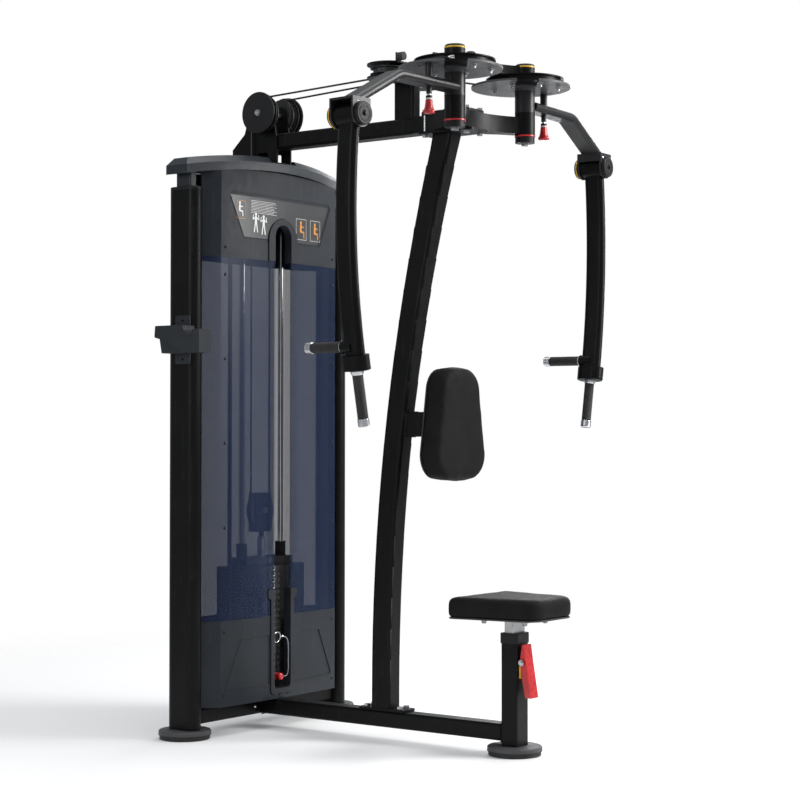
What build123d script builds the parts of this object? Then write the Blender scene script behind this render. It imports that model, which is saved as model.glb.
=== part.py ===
from build123d import *
import os
from math import cos, radians, sin, sqrt, tan

# Pec deck machine (seated chest fly) with one selectorised weight stack.
# +X points from the weight tower towards the seat, +Y is the user's left, +Z is up.
# The origin is on the floor, in the middle of the machine's length and width.
# All sizes are in millimetres.
os.makedirs("parts", exist_ok=True)

# ---------------------------------------------------------------- driving dimensions
TOWER_X = -506              # plane of the two tower columns
COLUMN_Y = 355              # tower columns, either side of the middle
SEAT_X = TOWER_X + 968      # seat post
PIVOT_X = TOWER_X + 884     # arm pivots
PIVOT_Y = 185.5
ARM_SKEW = 3.4              # each arm leans this far back from square, degrees

BEAM_W, BEAM_H, BEAM_R, WALL = 60, 50, 9, 3
BASE_Z = 40                 # underside of the base beams
TOP_BEAM_Z = 1834           # underside of the top beam
PAD_R, PAD_H, FOOT_R, FOOT_H = 77, 14, 80, 14
GROUND_CLEARANCE = PAD_H + FOOT_H

COLUMN_D, COLUMN_W, COLUMN_TOP = 112, 54, 1676
CROSSBAR_Z = 1620           # underside of the tower's upper crossbar
GAP = 0.3                   # clearance between bodies that pass each other
FIT = 0.05                  # radial clearance of a running fit

ROD_Y, ROD_R = 95, 9
PLATE_L, PLATE_D, PLATE_PITCH, PLATE_T = 312, 104, 19, 18.6
PLATE_COUNT, STACK_BOTTOM = 19, 149
STACK_TOP = STACK_BOTTOM + PLATE_COUNT * PLATE_PITCH
HEAD_L, HEAD_D, HEAD_T = 232, 74, 25
PIN_R = 5

CABLE_R = 3
CABLE_Y = 45                # the two cable drops
TOWER_PULLEY_X, TOWER_PULLEY_Z = TOWER_X + 45, 1949
GROOVE_R, RIM_R = 47, 56    # inside of the cable where it turns, and the pulley rim
DROP_X = TOWER_PULLEY_X - GROOVE_R - CABLE_R
FLOAT_Z, FLOAT_GROOVE_R, FLOAT_RIM_R = 683, CABLE_Y - CABLE_R, 56
DEFLECTOR_X, DEFLECTOR_Y, DEFLECTOR_Z = TOWER_X + 571, 83, 2019
CAM_GROOVE_R, CAM_CABLE_Z = 108.5, 1990

SHELL_FRONT, SHELL_EDGE, SHELL_T = 88, 78, 4     # shroud bulge in the middle and at its edges
SHELL_Y, SHELL_SIDE_X, SHELL_SIDE_Y = 282, 38, 327.5
SHELL_Z = (91, 354, 1476, 1770)                  # joints between lower, window and upper shells
SLOT_W, SLOT_BOTTOM, SLOT_TOP = 79, 123, 1594

PIVOT_R, SHAFT_R = 30.5, 12.5
PIVOT_Z = (1831, 1899, 1964, 1975, 2003, 2034)   # fixed tube, arm sleeve, cam hub, disc, fixed tube, cap
YOKE_UPPER_Z, YOKE_TOP_Z = 2012, 2038
CAM_R, CAM_T, CAM_SHIFT, CAM_FLANGE_Z = 150, 6, 15, 1998
HOLE_CIRCLE_R = 118         # ring of start-position holes
HOLE_ANGLES = (-20, -10, 0, 10, 15)

ARM_Z, ARM_W, ARM_T = 1921.5, 65, 26
ARM_BEND_R, ARM_BEND_END, ARM_DROP = 270, 498, 28
ELBOW_R, ELBOW_Z = 455, 1786
HUB_R, HUB_HALF = 31, 35.7
COLLAR_Z, GRIP_R, CORE_R = 1122, 15, 11
LOWER_ARM_MID = 1540

POST_D, POST_W, POST_TOP = 55, 70, 325           # seat post
LEVER_X, LEVER_Z = SEAT_X + POST_D / 2 + 10, 271 # pivot of the seat's lever
LUG_W, LEVER_PIN_R, LEVER_W, LEVER_T = 16, 4, 40, 3

SIDES = {"left": 1, "right": -1}
UPRIGHT = (Align.CENTER, Align.CENTER, Align.MIN)


def finish(part, name):
    """Label a finished piece and write it."""
    part.label = name
    export_step(part, f"parts/{name}.step")


def both_sides(right, name):
    """Write the right-hand piece and its mirror image."""
    finish(right, f"{name}_right")
    with BuildPart() as left:
        mirror(right, about=Plane.XZ)
    finish(left.part, f"{name}_left")


def tube_section(width, height, radius, wall=WALL):
    """Rounded rectangular tube section, drawn in the active sketch."""
    RectangleRounded(width, height, radius)
    RectangleRounded(width - 2 * wall, height - 2 * wall, max(radius - wall, 1), mode=Mode.SUBTRACT)


def plane_x(x):
    """Sketch plane across the machine: local x is Y, local y is Z."""
    return Plane(origin=(x, 0, 0), x_dir=(0, 1, 0), z_dir=(1, 0, 0))


def plane_y(y):
    """Sketch plane along the machine: local x is X, local y is Z, normal -Y."""
    return Plane(origin=(0, y, 0), x_dir=(1, 0, 0), z_dir=(0, -1, 0))


# ---------------------------------------------------------------- feet and base frame
FOOT_PLACES = [(TOWER_X, COLUMN_Y), (TOWER_X, -COLUMN_Y), (SEAT_X, 0)]

with BuildPart() as foot_pads:
    with BuildSketch():
        with Locations(*FOOT_PLACES):
            Circle(PAD_R)
    extrude(amount=PAD_H)
    chamfer(foot_pads.faces().sort_by(Axis.Z)[:3].edges(), 2)
finish(foot_pads.part, "foot_pads")

with BuildPart() as foot_plates:
    with BuildSketch(Plane.XY.offset(PAD_H)):
        with Locations(*FOOT_PLACES):
            Circle(FOOT_R)
    extrude(amount=FOOT_H)
    fillet(foot_plates.faces().sort_by(Axis.Z)[-3:].edges(), 5)
finish(foot_plates.part, "foot_plates")

base_beam_x0 = TOWER_X + BEAM_W / 2 - 2 * WALL
base_beam_x1 = SEAT_X - POST_D / 2
BASE_BOLT_X = (TOWER_X + 443, TOWER_X + 567)
BOLT_Y, BOLT_R, HEAD_R, HEAD_H = 16, 6, 10, 8

with BuildPart() as base_frame:
    with BuildSketch(plane_y(COLUMN_Y - COLUMN_W / 2)):
        with Locations((TOWER_X, BASE_Z + BEAM_H / 2)):
            tube_section(BEAM_W, BEAM_H, BEAM_R)
    extrude(amount=2 * COLUMN_Y - COLUMN_W)
    with BuildSketch(plane_x(base_beam_x0)):
        with Locations((0, BASE_Z + BEAM_H / 2)):
            tube_section(BEAM_W, BEAM_H, BEAM_R)
    extrude(amount=base_beam_x1 - base_beam_x0)
    with Locations([(x, y, BASE_Z + BEAM_H) for x in BASE_BOLT_X for y in (-BOLT_Y, BOLT_Y)]):
        Cylinder(BOLT_R, 4 * WALL, mode=Mode.SUBTRACT)
finish(base_frame.part, "base_frame")

# ---------------------------------------------------------------- weight tower frame
with BuildPart() as tower_columns:
    with BuildSketch(Plane.XY.offset(GROUND_CLEARANCE)):
        with Locations((TOWER_X, COLUMN_Y), (TOWER_X, -COLUMN_Y)):
            SlotOverall(COLUMN_D, COLUMN_W)
            SlotOverall(COLUMN_D - 2 * WALL, COLUMN_W - 2 * WALL, mode=Mode.SUBTRACT)
    extrude(amount=COLUMN_TOP - GROUND_CLEARANCE)
finish(tower_columns.part, "tower_columns")

with BuildPart() as tower_crossbar:
    with BuildSketch(plane_y(COLUMN_Y - COLUMN_W / 2)):
        with Locations((TOWER_X, CROSSBAR_Z + BEAM_H / 2)):
            tube_section(BEAM_W, BEAM_H, BEAM_R)
    extrude(amount=2 * COLUMN_Y - COLUMN_W)
    with Locations((DROP_X, CABLE_Y, CROSSBAR_Z), (DROP_X, -CABLE_Y, CROSSBAR_Z)):
        Cylinder(4 * CABLE_R, 4 * BEAM_H, mode=Mode.SUBTRACT)
    with Locations((TOWER_X, ROD_Y, CROSSBAR_Z), (TOWER_X, -ROD_Y, CROSSBAR_Z)):
        Cylinder(ROD_R, BEAM_H, mode=Mode.SUBTRACT)
finish(tower_crossbar.part, "tower_crossbar")

with BuildPart() as guide_rods:
    rod_bottom = BASE_Z + BEAM_H
    with BuildSketch(Plane.XY.offset(rod_bottom)):
        with Locations((TOWER_X, ROD_Y), (TOWER_X, -ROD_Y)):
            Circle(ROD_R)
    extrude(amount=CROSSBAR_Z + BEAM_H / 4 - rod_bottom)
    chamfer(guide_rods.faces().sort_by(Axis.Z)[-2:].edges(), 1)
finish(guide_rods.part, "guide_rods")

# Two steel cheeks stand on a foot plate and carry the beam and the pulley axle.
CHEEK_T = 6
BRACKET_REAR, BRACKET_FRONT = TOWER_X - 94, TOWER_X + 93
bracket_foot_z = CROSSBAR_Z + BEAM_H
with BuildPart() as pulley_bracket:
    with BuildSketch(Plane.XY.offset(bracket_foot_z)):
        with Locations(((BRACKET_REAR + BRACKET_FRONT) / 2, 0)):
            Rectangle(BRACKET_FRONT - BRACKET_REAR - 28, BEAM_W + 2 * CHEEK_T)
    extrude(amount=CHEEK_T)
    for cheek_y in (BEAM_W / 2 + CHEEK_T, -BEAM_W / 2):
        with BuildSketch(plane_y(cheek_y)):
            with BuildLine():
                Polyline(
                    (TOWER_PULLEY_X + 30, TOWER_PULLEY_Z),
                    (BRACKET_FRONT, 1855),
                    (BRACKET_FRONT, 1786),
                    (BRACKET_FRONT - 14, 1774),
                    (BRACKET_FRONT - 14, bracket_foot_z),
                    (BRACKET_REAR + 14, bracket_foot_z),
                    (BRACKET_REAR + 14, 1774),
                    (BRACKET_REAR, 1786),
                    (BRACKET_REAR, 1845),
                    (TOWER_X - 43, 1892),
                    (TOWER_X - 30, 1935),
                    (TOWER_PULLEY_X - 30, TOWER_PULLEY_Z + 10),
                )
                ThreePointArc(
                    (TOWER_PULLEY_X - 30, TOWER_PULLEY_Z + 10),
                    (TOWER_PULLEY_X, TOWER_PULLEY_Z + 31),
                    (TOWER_PULLEY_X + 30, TOWER_PULLEY_Z),
                )
            make_face()
            with Locations((TOWER_X + 32, 1797)):
                RectangleRounded(46, 58, 8, mode=Mode.SUBTRACT)
        extrude(amount=CHEEK_T)
    with Locations(Location((TOWER_PULLEY_X, 0, TOWER_PULLEY_Z), (90, 0, 0))):
        Cylinder(10, 3 * BEAM_W, mode=Mode.SUBTRACT)
finish(pulley_bracket.part, "pulley_bracket")

BEAM_END = TOWER_X + 620
with BuildPart() as top_beam:
    with BuildSketch(plane_x(TOWER_X - 60)):
        with Locations((0, TOP_BEAM_Z + BEAM_H / 2)):
            tube_section(BEAM_W, BEAM_H, BEAM_R)
    extrude(amount=BEAM_END - TOWER_X + 60)
finish(top_beam.part, "top_beam")

# ---------------------------------------------------------------- curved main column
MAIN_D, MAIN_W, MAIN_R = 70, 60, 10
MAIN_BEND_R, MAIN_BEND_Z, MAIN_X = 6300, 150, TOWER_X + 500
FLANGE_T = 8
TOP_FLANGE_X, TOP_FLANGE_L, TOP_FLANGE_W = TOWER_X + 747, 196, 104
BOLT_TOP_X, BOLT_TOP_Y = (TOP_FLANGE_X - 75, TOP_FLANGE_X + 75), 35


def main_column_x(z):
    """Centre of the main column at a height."""
    rise = max(z - MAIN_BEND_Z, 0)
    return MAIN_X + MAIN_BEND_R - sqrt(MAIN_BEND_R**2 - rise**2)


column_foot_z = BASE_Z + BEAM_H + FLANGE_T
column_top_z = TOP_BEAM_Z - FLANGE_T
with BuildPart() as main_column:
    with BuildLine():
        straight = Line((MAIN_X, 0, column_foot_z), (MAIN_X, 0, MAIN_BEND_Z))
        middle_z = (MAIN_BEND_Z + column_top_z + 20) / 2
        ThreePointArc(
            straight @ 1,
            (main_column_x(middle_z), 0, middle_z),
            (main_column_x(column_top_z + 20), 0, column_top_z + 20),
        )
    with BuildSketch(Plane.XY.offset(column_foot_z)):
        with Locations((MAIN_X, 0)):
            tube_section(MAIN_D, MAIN_W, MAIN_R)
    sweep()
    split(bisect_by=Plane.XY.offset(column_top_z), keep=Keep.BOTTOM)
    with BuildSketch(Plane.XY.offset(BASE_Z + BEAM_H)):
        with Locations((sum(BASE_BOLT_X) / 2, 0)):
            RectangleRounded(170, 66, 8)
        with GridLocations(BASE_BOLT_X[1] - BASE_BOLT_X[0], 2 * BOLT_Y, 2, 2):
            with Locations((sum(BASE_BOLT_X) / 2, 0)):
                Circle(BOLT_R, mode=Mode.SUBTRACT)
    extrude(amount=FLANGE_T)
    with BuildSketch(Plane.XY.offset(column_top_z)):
        with Locations((TOP_FLANGE_X, 0)):
            RectangleRounded(TOP_FLANGE_L, TOP_FLANGE_W, 20)
        with Locations(*[(x, s * BOLT_TOP_Y) for x in BOLT_TOP_X for s in (-1, 1)]):
            Circle(BOLT_R, mode=Mode.SUBTRACT)
    extrude(amount=FLANGE_T)
finish(main_column.part, "main_column")

# ---------------------------------------------------------------- yokes that hold the pivots
YOKE_START_X = TOWER_X + 600
OUTER_BEND_R = 285
FRONT_MID_X = TOWER_X + 835
YOKE_PLATE_T = 5


def yoke_outline():
    """Plan of a yoke: flares from the beam and ends on the two pivot tubes."""
    reach = PIVOT_X - 26 - YOKE_START_X
    end_y = BEAM_W / 2 + OUTER_BEND_R - sqrt(OUTER_BEND_R**2 - reach**2)
    middle = reach * 0.6
    middle_y = BEAM_W / 2 + OUTER_BEND_R - sqrt(OUTER_BEND_R**2 - middle**2)
    front_x, front_y = PIVOT_X + 4, PIVOT_Y - 28
    with BuildLine() as outline:
        for s in (-1, 1):
            ThreePointArc(
                (YOKE_START_X, s * BEAM_W / 2),
                (YOKE_START_X + middle, s * middle_y),
                (YOKE_START_X + reach, s * end_y),
            )
            Line((YOKE_START_X + reach, s * end_y), (front_x, s * front_y))
        ThreePointArc((front_x, -front_y), (FRONT_MID_X, 0), (front_x, front_y))
        Line((YOKE_START_X, -BEAM_W / 2), (YOKE_START_X, BEAM_W / 2))
    make_face(outline.edges())


def pivot_locations(z=0):
    """Both arm pivots at a height."""
    return Locations((PIVOT_X, PIVOT_Y, z), (PIVOT_X, -PIVOT_Y, z))


with BuildPart() as yoke_lower:
    with BuildSketch(Plane.XY.offset(TOP_BEAM_Z)) as yoke_plan:
        yoke_outline()
        with Locations((YOKE_START_X, 0)):
            Rectangle(2 * (BEAM_END - YOKE_START_X), 2 * BEAM_W, mode=Mode.SUBTRACT)
    extrude(amount=BEAM_H)
    with BuildSketch(Plane.XY.offset(TOP_BEAM_Z + YOKE_PLATE_T)):
        offset(yoke_plan.sketch, -YOKE_PLATE_T)
    extrude(amount=BEAM_H - 2 * YOKE_PLATE_T, mode=Mode.SUBTRACT)
    with Locations((BEAM_END + YOKE_PLATE_T, 0, TOP_BEAM_Z + BEAM_H / 2)):
        Box(4 * YOKE_PLATE_T, BEAM_W / 2, BEAM_H / 2, mode=Mode.SUBTRACT)
    with BuildSketch(Plane.XY.offset(TOP_BEAM_Z + BEAM_H)):
        with Locations((TOP_FLANGE_X, 0)):
            RectangleRounded(TOP_FLANGE_L - 22, TOP_FLANGE_W, 20)
    extrude(amount=FLANGE_T)
    with Locations(*[(x, s * BOLT_TOP_Y, TOP_BEAM_Z) for x in BOLT_TOP_X for s in (-1, 1)]):
        Cylinder(BOLT_R, 4 * BEAM_H, mode=Mode.SUBTRACT)
    with pivot_locations(TOP_BEAM_Z):
        Cylinder(PIVOT_R, 4 * BEAM_H, mode=Mode.SUBTRACT)
finish(yoke_lower.part, "yoke_lower")

# Above the cams: a post on the beam, two shelves around the deflector pulleys and a yoke.
YOKE_POST_X, YOKE_POST_D, YOKE_POST_W = TOWER_X + 579, 74, 40
SHELF_R, SHELF_T = 66, 5
SHELF_Z = (DEFLECTOR_Z - 23, DEFLECTOR_Z + 17)
YOKE_UPPER_H = YOKE_TOP_Z - YOKE_UPPER_Z
AXLE_R = 8
post_top_z = SHELF_Z[1] + SHELF_T
with BuildPart() as yoke_upper:
    with BuildSketch(Plane.XY.offset(TOP_BEAM_Z + BEAM_H)):
        with Locations((YOKE_POST_X, 0)):
            tube_section(YOKE_POST_D, YOKE_POST_W, 8)
    extrude(amount=post_top_z - TOP_BEAM_Z - BEAM_H)
    for shelf_z in SHELF_Z:
        with BuildSketch(Plane.XY.offset(shelf_z)):
            with Locations((DEFLECTOR_X, DEFLECTOR_Y), (DEFLECTOR_X, -DEFLECTOR_Y)):
                Circle(SHELF_R)
            with Locations((YOKE_POST_X, 0)):
                Rectangle(YOKE_POST_D, 2 * DEFLECTOR_Y)
            with Locations((DEFLECTOR_X, DEFLECTOR_Y), (DEFLECTOR_X, -DEFLECTOR_Y)):
                Circle(AXLE_R, mode=Mode.SUBTRACT)
        extrude(amount=SHELF_T)
    with BuildSketch(Plane.XY.offset(YOKE_UPPER_Z)) as upper_plan:
        yoke_outline()
        with Locations((YOKE_START_X, 0)):
            Rectangle(2 * (YOKE_POST_X + YOKE_POST_D / 2 - YOKE_START_X), 99, mode=Mode.SUBTRACT)
    extrude(amount=YOKE_UPPER_H)
    with BuildSketch(Plane.XY.offset(YOKE_UPPER_Z)):
        offset(upper_plan.sketch, -YOKE_PLATE_T)
    extrude(amount=YOKE_UPPER_H - YOKE_PLATE_T, mode=Mode.SUBTRACT)
    with pivot_locations(YOKE_UPPER_Z):
        Cylinder(PIVOT_R, 4 * YOKE_UPPER_H, mode=Mode.SUBTRACT)
    for s in (-1, 1):
        with Locations((TOWER_X + 628, s * 112, post_top_z + 10)):
            Box(4, 24, 28)
finish(yoke_upper.part, "yoke_upper")

# Fixed tube ends of both pivots, the caps over them and the coloured trim rings.
with BuildPart() as pivot_housings:
    for z0, z1 in ((PIVOT_Z[0], PIVOT_Z[1]), (PIVOT_Z[4], PIVOT_Z[5])):
        with BuildSketch(Plane.XY.offset(z0)):
            with pivot_locations():
                Circle(PIVOT_R)
                Circle(SHAFT_R, mode=Mode.SUBTRACT)
        extrude(amount=z1 - z0)
finish(pivot_housings.part, "pivot_housings")

RING_T = 5
with BuildPart() as pivot_rings:
    for z0 in (PIVOT_Z[0] - RING_T, PIVOT_Z[5]):
        with BuildSketch(Plane.XY.offset(z0)):
            with pivot_locations():
                Circle(PIVOT_R)
                Circle(SHAFT_R, mode=Mode.SUBTRACT)
        extrude(amount=RING_T)
finish(pivot_rings.part, "pivot_rings")

PIVOT_CAP_H = 7
with BuildPart() as end_caps:
    with BuildSketch(Plane.XY.offset(COLUMN_TOP)):
        with Locations((TOWER_X, COLUMN_Y), (TOWER_X, -COLUMN_Y)):
            SlotOverall(COLUMN_D, COLUMN_W)
    extrude(amount=10)
    fillet(end_caps.faces().filter_by(Axis.Z).sort_by(Axis.Z)[-2:].edges(), 3)
    with BuildSketch(Plane.XY.offset(COLUMN_TOP)):
        with Locations((TOWER_X, COLUMN_Y), (TOWER_X, -COLUMN_Y)):
            SlotOverall(COLUMN_D - 2 * WALL - GAP, COLUMN_W - 2 * WALL - GAP)
    extrude(amount=-20)
    with BuildSketch(Plane.XY.offset(PIVOT_Z[5] + RING_T)):
        with pivot_locations():
            Circle(PIVOT_R - 1)
    extrude(amount=PIVOT_CAP_H)
    fillet(end_caps.faces().filter_by(Axis.Z).sort_by(Axis.Z)[-2:].edges(), 5)
    with BuildSketch(Plane.XY.offset(PIVOT_Z[0] - RING_T)):
        with pivot_locations():
            Circle(PIVOT_R - 1)
            Circle(SHAFT_R, mode=Mode.SUBTRACT)
    extrude(amount=-18)
finish(end_caps.part, "end_caps")

# ---------------------------------------------------------------- pulleys, axles and covers
def pulley(name, plane, width, rim, groove, bore):
    """Grooved wheel: the plane's x is radial and its y runs along the axle."""
    half, lip, floor = width / 2, width / 2 - 2.5, width / 2 - 4
    with BuildPart() as wheel:
        with BuildSketch(plane):
            with BuildLine():
                Polyline(
                    (bore, -half),
                    (rim, -half),
                    (rim, -lip),
                    (groove, -floor),
                    (groove, floor),
                    (rim, lip),
                    (rim, half),
                    (bore, half),
                    close=True,
                )
            make_face()
        revolve(axis=Axis(plane.origin, plane.y_dir))
    finish(wheel.part, name)


TOWER_AXLE_R, FLOAT_AXLE_R = 10, 6
PULLEY_W, WIDE_PULLEY_W = 16, 20
FLOAT_X = DROP_X
for side, s in SIDES.items():
    tower_centre = (TOWER_PULLEY_X, s * CABLE_Y, TOWER_PULLEY_Z)
    tower_plane = Plane(origin=tower_centre, x_dir=(1, 0, 0), z_dir=(0, 0, 1))
    pulley(f"tower_pulley_{side}", tower_plane, PULLEY_W, RIM_R, GROOVE_R - GAP, TOWER_AXLE_R + FIT)
    deflector_centre = (DEFLECTOR_X, s * DEFLECTOR_Y, DEFLECTOR_Z)
    deflector_plane = Plane(origin=deflector_centre, x_dir=(1, 0, 0), z_dir=(0, -1, 0))
    pulley(f"deflector_pulley_{side}", deflector_plane, WIDE_PULLEY_W, RIM_R, GROOVE_R - GAP, AXLE_R + FIT)
float_plane = Plane(origin=(FLOAT_X, 0, FLOAT_Z), x_dir=(0, 1, 0), z_dir=(0, 0, -1))
float_groove = FLOAT_GROOVE_R - GAP
pulley("floating_pulley", float_plane, WIDE_PULLEY_W, FLOAT_RIM_R, float_groove, FLOAT_AXLE_R + FIT)

COVER_R, COVER_Y, COVER_T = 66, 68, 7
INNER_COVER_Y, INNER_COVER_T = 54, 3
cap_bottom_z = PIVOT_Z[0] - RING_T - 18
head_gap = LEVER_W / 2 + GAP
LEVER_PIN = ((2 * head_gap, head_gap, LEVER_PIN_R), (4, head_gap + 4, 7), (4, -head_gap, 7))
with BuildPart() as axles:
    with pivot_locations(cap_bottom_z):
        Cylinder(SHAFT_R, PIVOT_Z[5] + RING_T - cap_bottom_z, align=UPRIGHT)
    with BuildSketch(plane_y(COVER_Y + COVER_T)):
        with Locations((TOWER_PULLEY_X, TOWER_PULLEY_Z)):
            Circle(TOWER_AXLE_R)
    extrude(amount=2 * (COVER_Y + COVER_T))
    with Locations((DEFLECTOR_X, DEFLECTOR_Y, SHELF_Z[0]), (DEFLECTOR_X, -DEFLECTOR_Y, SHELF_Z[0])):
        Cylinder(AXLE_R, SHELF_Z[1] + SHELF_T - SHELF_Z[0], align=UPRIGHT)
    for z0, z1 in (
        (SHELF_Z[0] + SHELF_T, DEFLECTOR_Z - WIDE_PULLEY_W / 2 - GAP),
        (DEFLECTOR_Z + WIDE_PULLEY_W / 2 + GAP, SHELF_Z[1]),
    ):
        with Locations((DEFLECTOR_X, DEFLECTOR_Y, z0), (DEFLECTOR_X, -DEFLECTOR_Y, z0)):
            Cylinder(1.5 * AXLE_R, z1 - z0, align=UPRIGHT)
    for length, y0, radius in LEVER_PIN:
        with BuildSketch(plane_y(y0)):
            with Locations((LEVER_X, LEVER_Z)):
                Circle(radius)
        extrude(amount=length)
finish(axles.part, "axles")

with BuildPart() as pulley_covers:
    for s in (-1, 1):
        for y0, y1, radius in (
            (INNER_COVER_Y, INNER_COVER_Y + INNER_COVER_T, COVER_R - 3),
            (INNER_COVER_Y + INNER_COVER_T, COVER_Y, 2 * TOWER_AXLE_R),
            (COVER_Y, COVER_Y + COVER_T, COVER_R),
        ):
            with BuildSketch(plane_y(s * y0)):
                with Locations((TOWER_PULLEY_X, TOWER_PULLEY_Z)):
                    Circle(radius)
                    Circle(TOWER_AXLE_R, mode=Mode.SUBTRACT)
            extrude(amount=-s * (y1 - y0))
    cover_rims = pulley_covers.edges().filter_by(GeomType.CIRCLE)
    chamfer(cover_rims.filter_by(lambda rim: rim.radius > COVER_R - 1), 1.5)
finish(pulley_covers.part, "pulley_covers")


def hex_heads(points, z0, height, across=HEAD_R):
    """Hexagon heads standing on the plane z0, added to the active part."""
    with BuildSketch(Plane.XY.offset(z0)) as heads:
        with Locations(*points):
            RegularPolygon(across, 6)
    extrude(heads.sketch, amount=height)


base_bolts = [(x, s * BOLT_Y) for x in BASE_BOLT_X for s in (-1, 1)]
top_bolts = [(x, s * BOLT_TOP_Y) for x in BOLT_TOP_X for s in (-1, 1)]
pivots = [(PIVOT_X, s * PIVOT_Y) for s in (-1, 1)]
deflectors = [(DEFLECTOR_X, s * DEFLECTOR_Y) for s in (-1, 1)]
with BuildPart() as frame_bolts:
    hex_heads(base_bolts, BASE_Z + BEAM_H + FLANGE_T, HEAD_H)
    hex_heads(top_bolts, column_top_z - HEAD_H, HEAD_H)
    hex_heads(top_bolts, TOP_BEAM_Z + BEAM_H + FLANGE_T, HEAD_H)
    hex_heads(pivots, cap_bottom_z - HEAD_H, HEAD_H, 12)
    hex_heads(deflectors, post_top_z, HEAD_H)
    for points, z0, z1 in (
        (base_bolts, BASE_Z + BEAM_H - 2 * WALL, BASE_Z + BEAM_H + FLANGE_T),
        (top_bolts, column_top_z, TOP_BEAM_Z + BEAM_H + FLANGE_T),
    ):
        with BuildSketch(Plane.XY.offset(z0)):
            with Locations(*points):
                Circle(BOLT_R)
        extrude(amount=z1 - z0)
    for s in (-1, 1):
        with BuildSketch(plane_y(s * (COVER_Y + COVER_T))):
            with Locations((TOWER_PULLEY_X, TOWER_PULLEY_Z)):
                RegularPolygon(HEAD_R - 1, 6)
        extrude(amount=-s * 5)
finish(frame_bolts.part, "frame_bolts")

with BuildPart() as rubber_bumpers:
    with BuildSketch(Plane.XY.offset(YOKE_TOP_Z)):
        with Locations((TOWER_X + 812, 0)):
            Circle(16.5)
    extrude(amount=27.5)
    with BuildSketch(plane_x(TOWER_X + 630)):
        with Locations((115, post_top_z + 12), (-115, post_top_z + 12)):
            Circle(12.5)
    extrude(amount=22)
    fillet(rubber_bumpers.faces().sort_by(Axis.X)[-2:].edges(), 10)
    with BuildSketch(Plane.XY.offset(BASE_Z + BEAM_H)):
        with Locations((TOWER_X, ROD_Y), (TOWER_X, -ROD_Y)):
            Circle(25)
            Circle(ROD_R, mode=Mode.SUBTRACT)
    extrude(amount=STACK_BOTTOM - BASE_Z - BEAM_H - GAP)
finish(rubber_bumpers.part, "rubber_bumpers")

# ---------------------------------------------------------------- cables
CAM_TANGENT = (TOWER_X + 801, -260.7, CAM_CABLE_Z)
CABLE_CORNER = (TOWER_X + 593.1, -31.45, DEFLECTOR_Z + 1.2)
with BuildPart() as cable_right:
    with BuildLine():
        FilletPolyline(
            (DROP_X, -CABLE_Y, TOWER_PULLEY_Z),
            (DROP_X, -CABLE_Y, TOWER_PULLEY_Z + GROOVE_R + CABLE_R),
            CABLE_CORNER,
            CAM_TANGENT,
            radius=GROOVE_R + CABLE_R + 1,
        )
    with BuildSketch(Plane.XY.offset(TOWER_PULLEY_Z)):
        with Locations((DROP_X, -CABLE_Y)):
            Circle(CABLE_R)
    sweep()
with BuildPart() as cables:
    add(cable_right.part)
    mirror(cable_right.part, about=Plane.XZ)
finish(cables.part, "cables")

with BuildPart() as cable_drops:
    with BuildSketch(Plane.XY.offset(FLOAT_Z)):
        with Locations((DROP_X, CABLE_Y), (DROP_X, -CABLE_Y)):
            Circle(CABLE_R)
    extrude(amount=TOWER_PULLEY_Z - FLOAT_Z)
finish(cable_drops.part, "cable_drops")

with BuildPart() as cable_loop:
    with BuildSketch(Plane.XY.offset(FLOAT_Z)):
        with Locations((FLOAT_X, CABLE_Y)):
            Circle(CABLE_R)
    revolve(axis=Axis((FLOAT_X, 0, FLOAT_Z), (-1, 0, 0)), revolution_arc=180)
finish(cable_loop.part, "cable_loop")

# ---------------------------------------------------------------- weight stack
STEM_R, STEM_BOTTOM, STEM_TOP = 12.5, 130, 594
with BuildPart() as bottom_plate:
    with BuildSketch(Plane.XY.offset(STACK_BOTTOM)):
        with Locations((TOWER_X, 0)):
            RectangleRounded(PLATE_D, PLATE_L, 4)
            Circle(STEM_R + GAP, mode=Mode.SUBTRACT)
        with Locations((TOWER_X, ROD_Y), (TOWER_X, -ROD_Y)):
            Circle(ROD_R + 1, mode=Mode.SUBTRACT)
    extrude(amount=PLATE_T)
    with BuildSketch(plane_x(TOWER_X)):
        with Locations((0, STACK_BOTTOM + PLATE_T / 2)):
            Circle(PIN_R)
    extrude(amount=PLATE_D, mode=Mode.SUBTRACT)
with BuildPart() as weight_plates:
    for level in range(PLATE_COUNT):
        add(bottom_plate.part.moved(Location((0, 0, level * PLATE_PITCH))))
finish(weight_plates.part, "weight_plates")

with BuildPart() as head_plate:
    with BuildSketch(Plane.XY.offset(STACK_TOP + 1)):
        with Locations((TOWER_X, 0)):
            RectangleRounded(HEAD_D, HEAD_L, 4)
            Circle(STEM_R, mode=Mode.SUBTRACT)
        with Locations((TOWER_X, ROD_Y), (TOWER_X, -ROD_Y)):
            Circle(17, mode=Mode.SUBTRACT)
    extrude(amount=HEAD_T)
finish(head_plate.part, "head_plate")

with BuildPart() as guide_bushings:
    with BuildSketch(Plane.XY.offset(STACK_TOP + 1)):
        with Locations((TOWER_X, ROD_Y), (TOWER_X, -ROD_Y)):
            Circle(17)
            Circle(ROD_R + FIT, mode=Mode.SUBTRACT)
    extrude(amount=HEAD_T + 45)
finish(guide_bushings.part, "guide_bushings")

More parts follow.
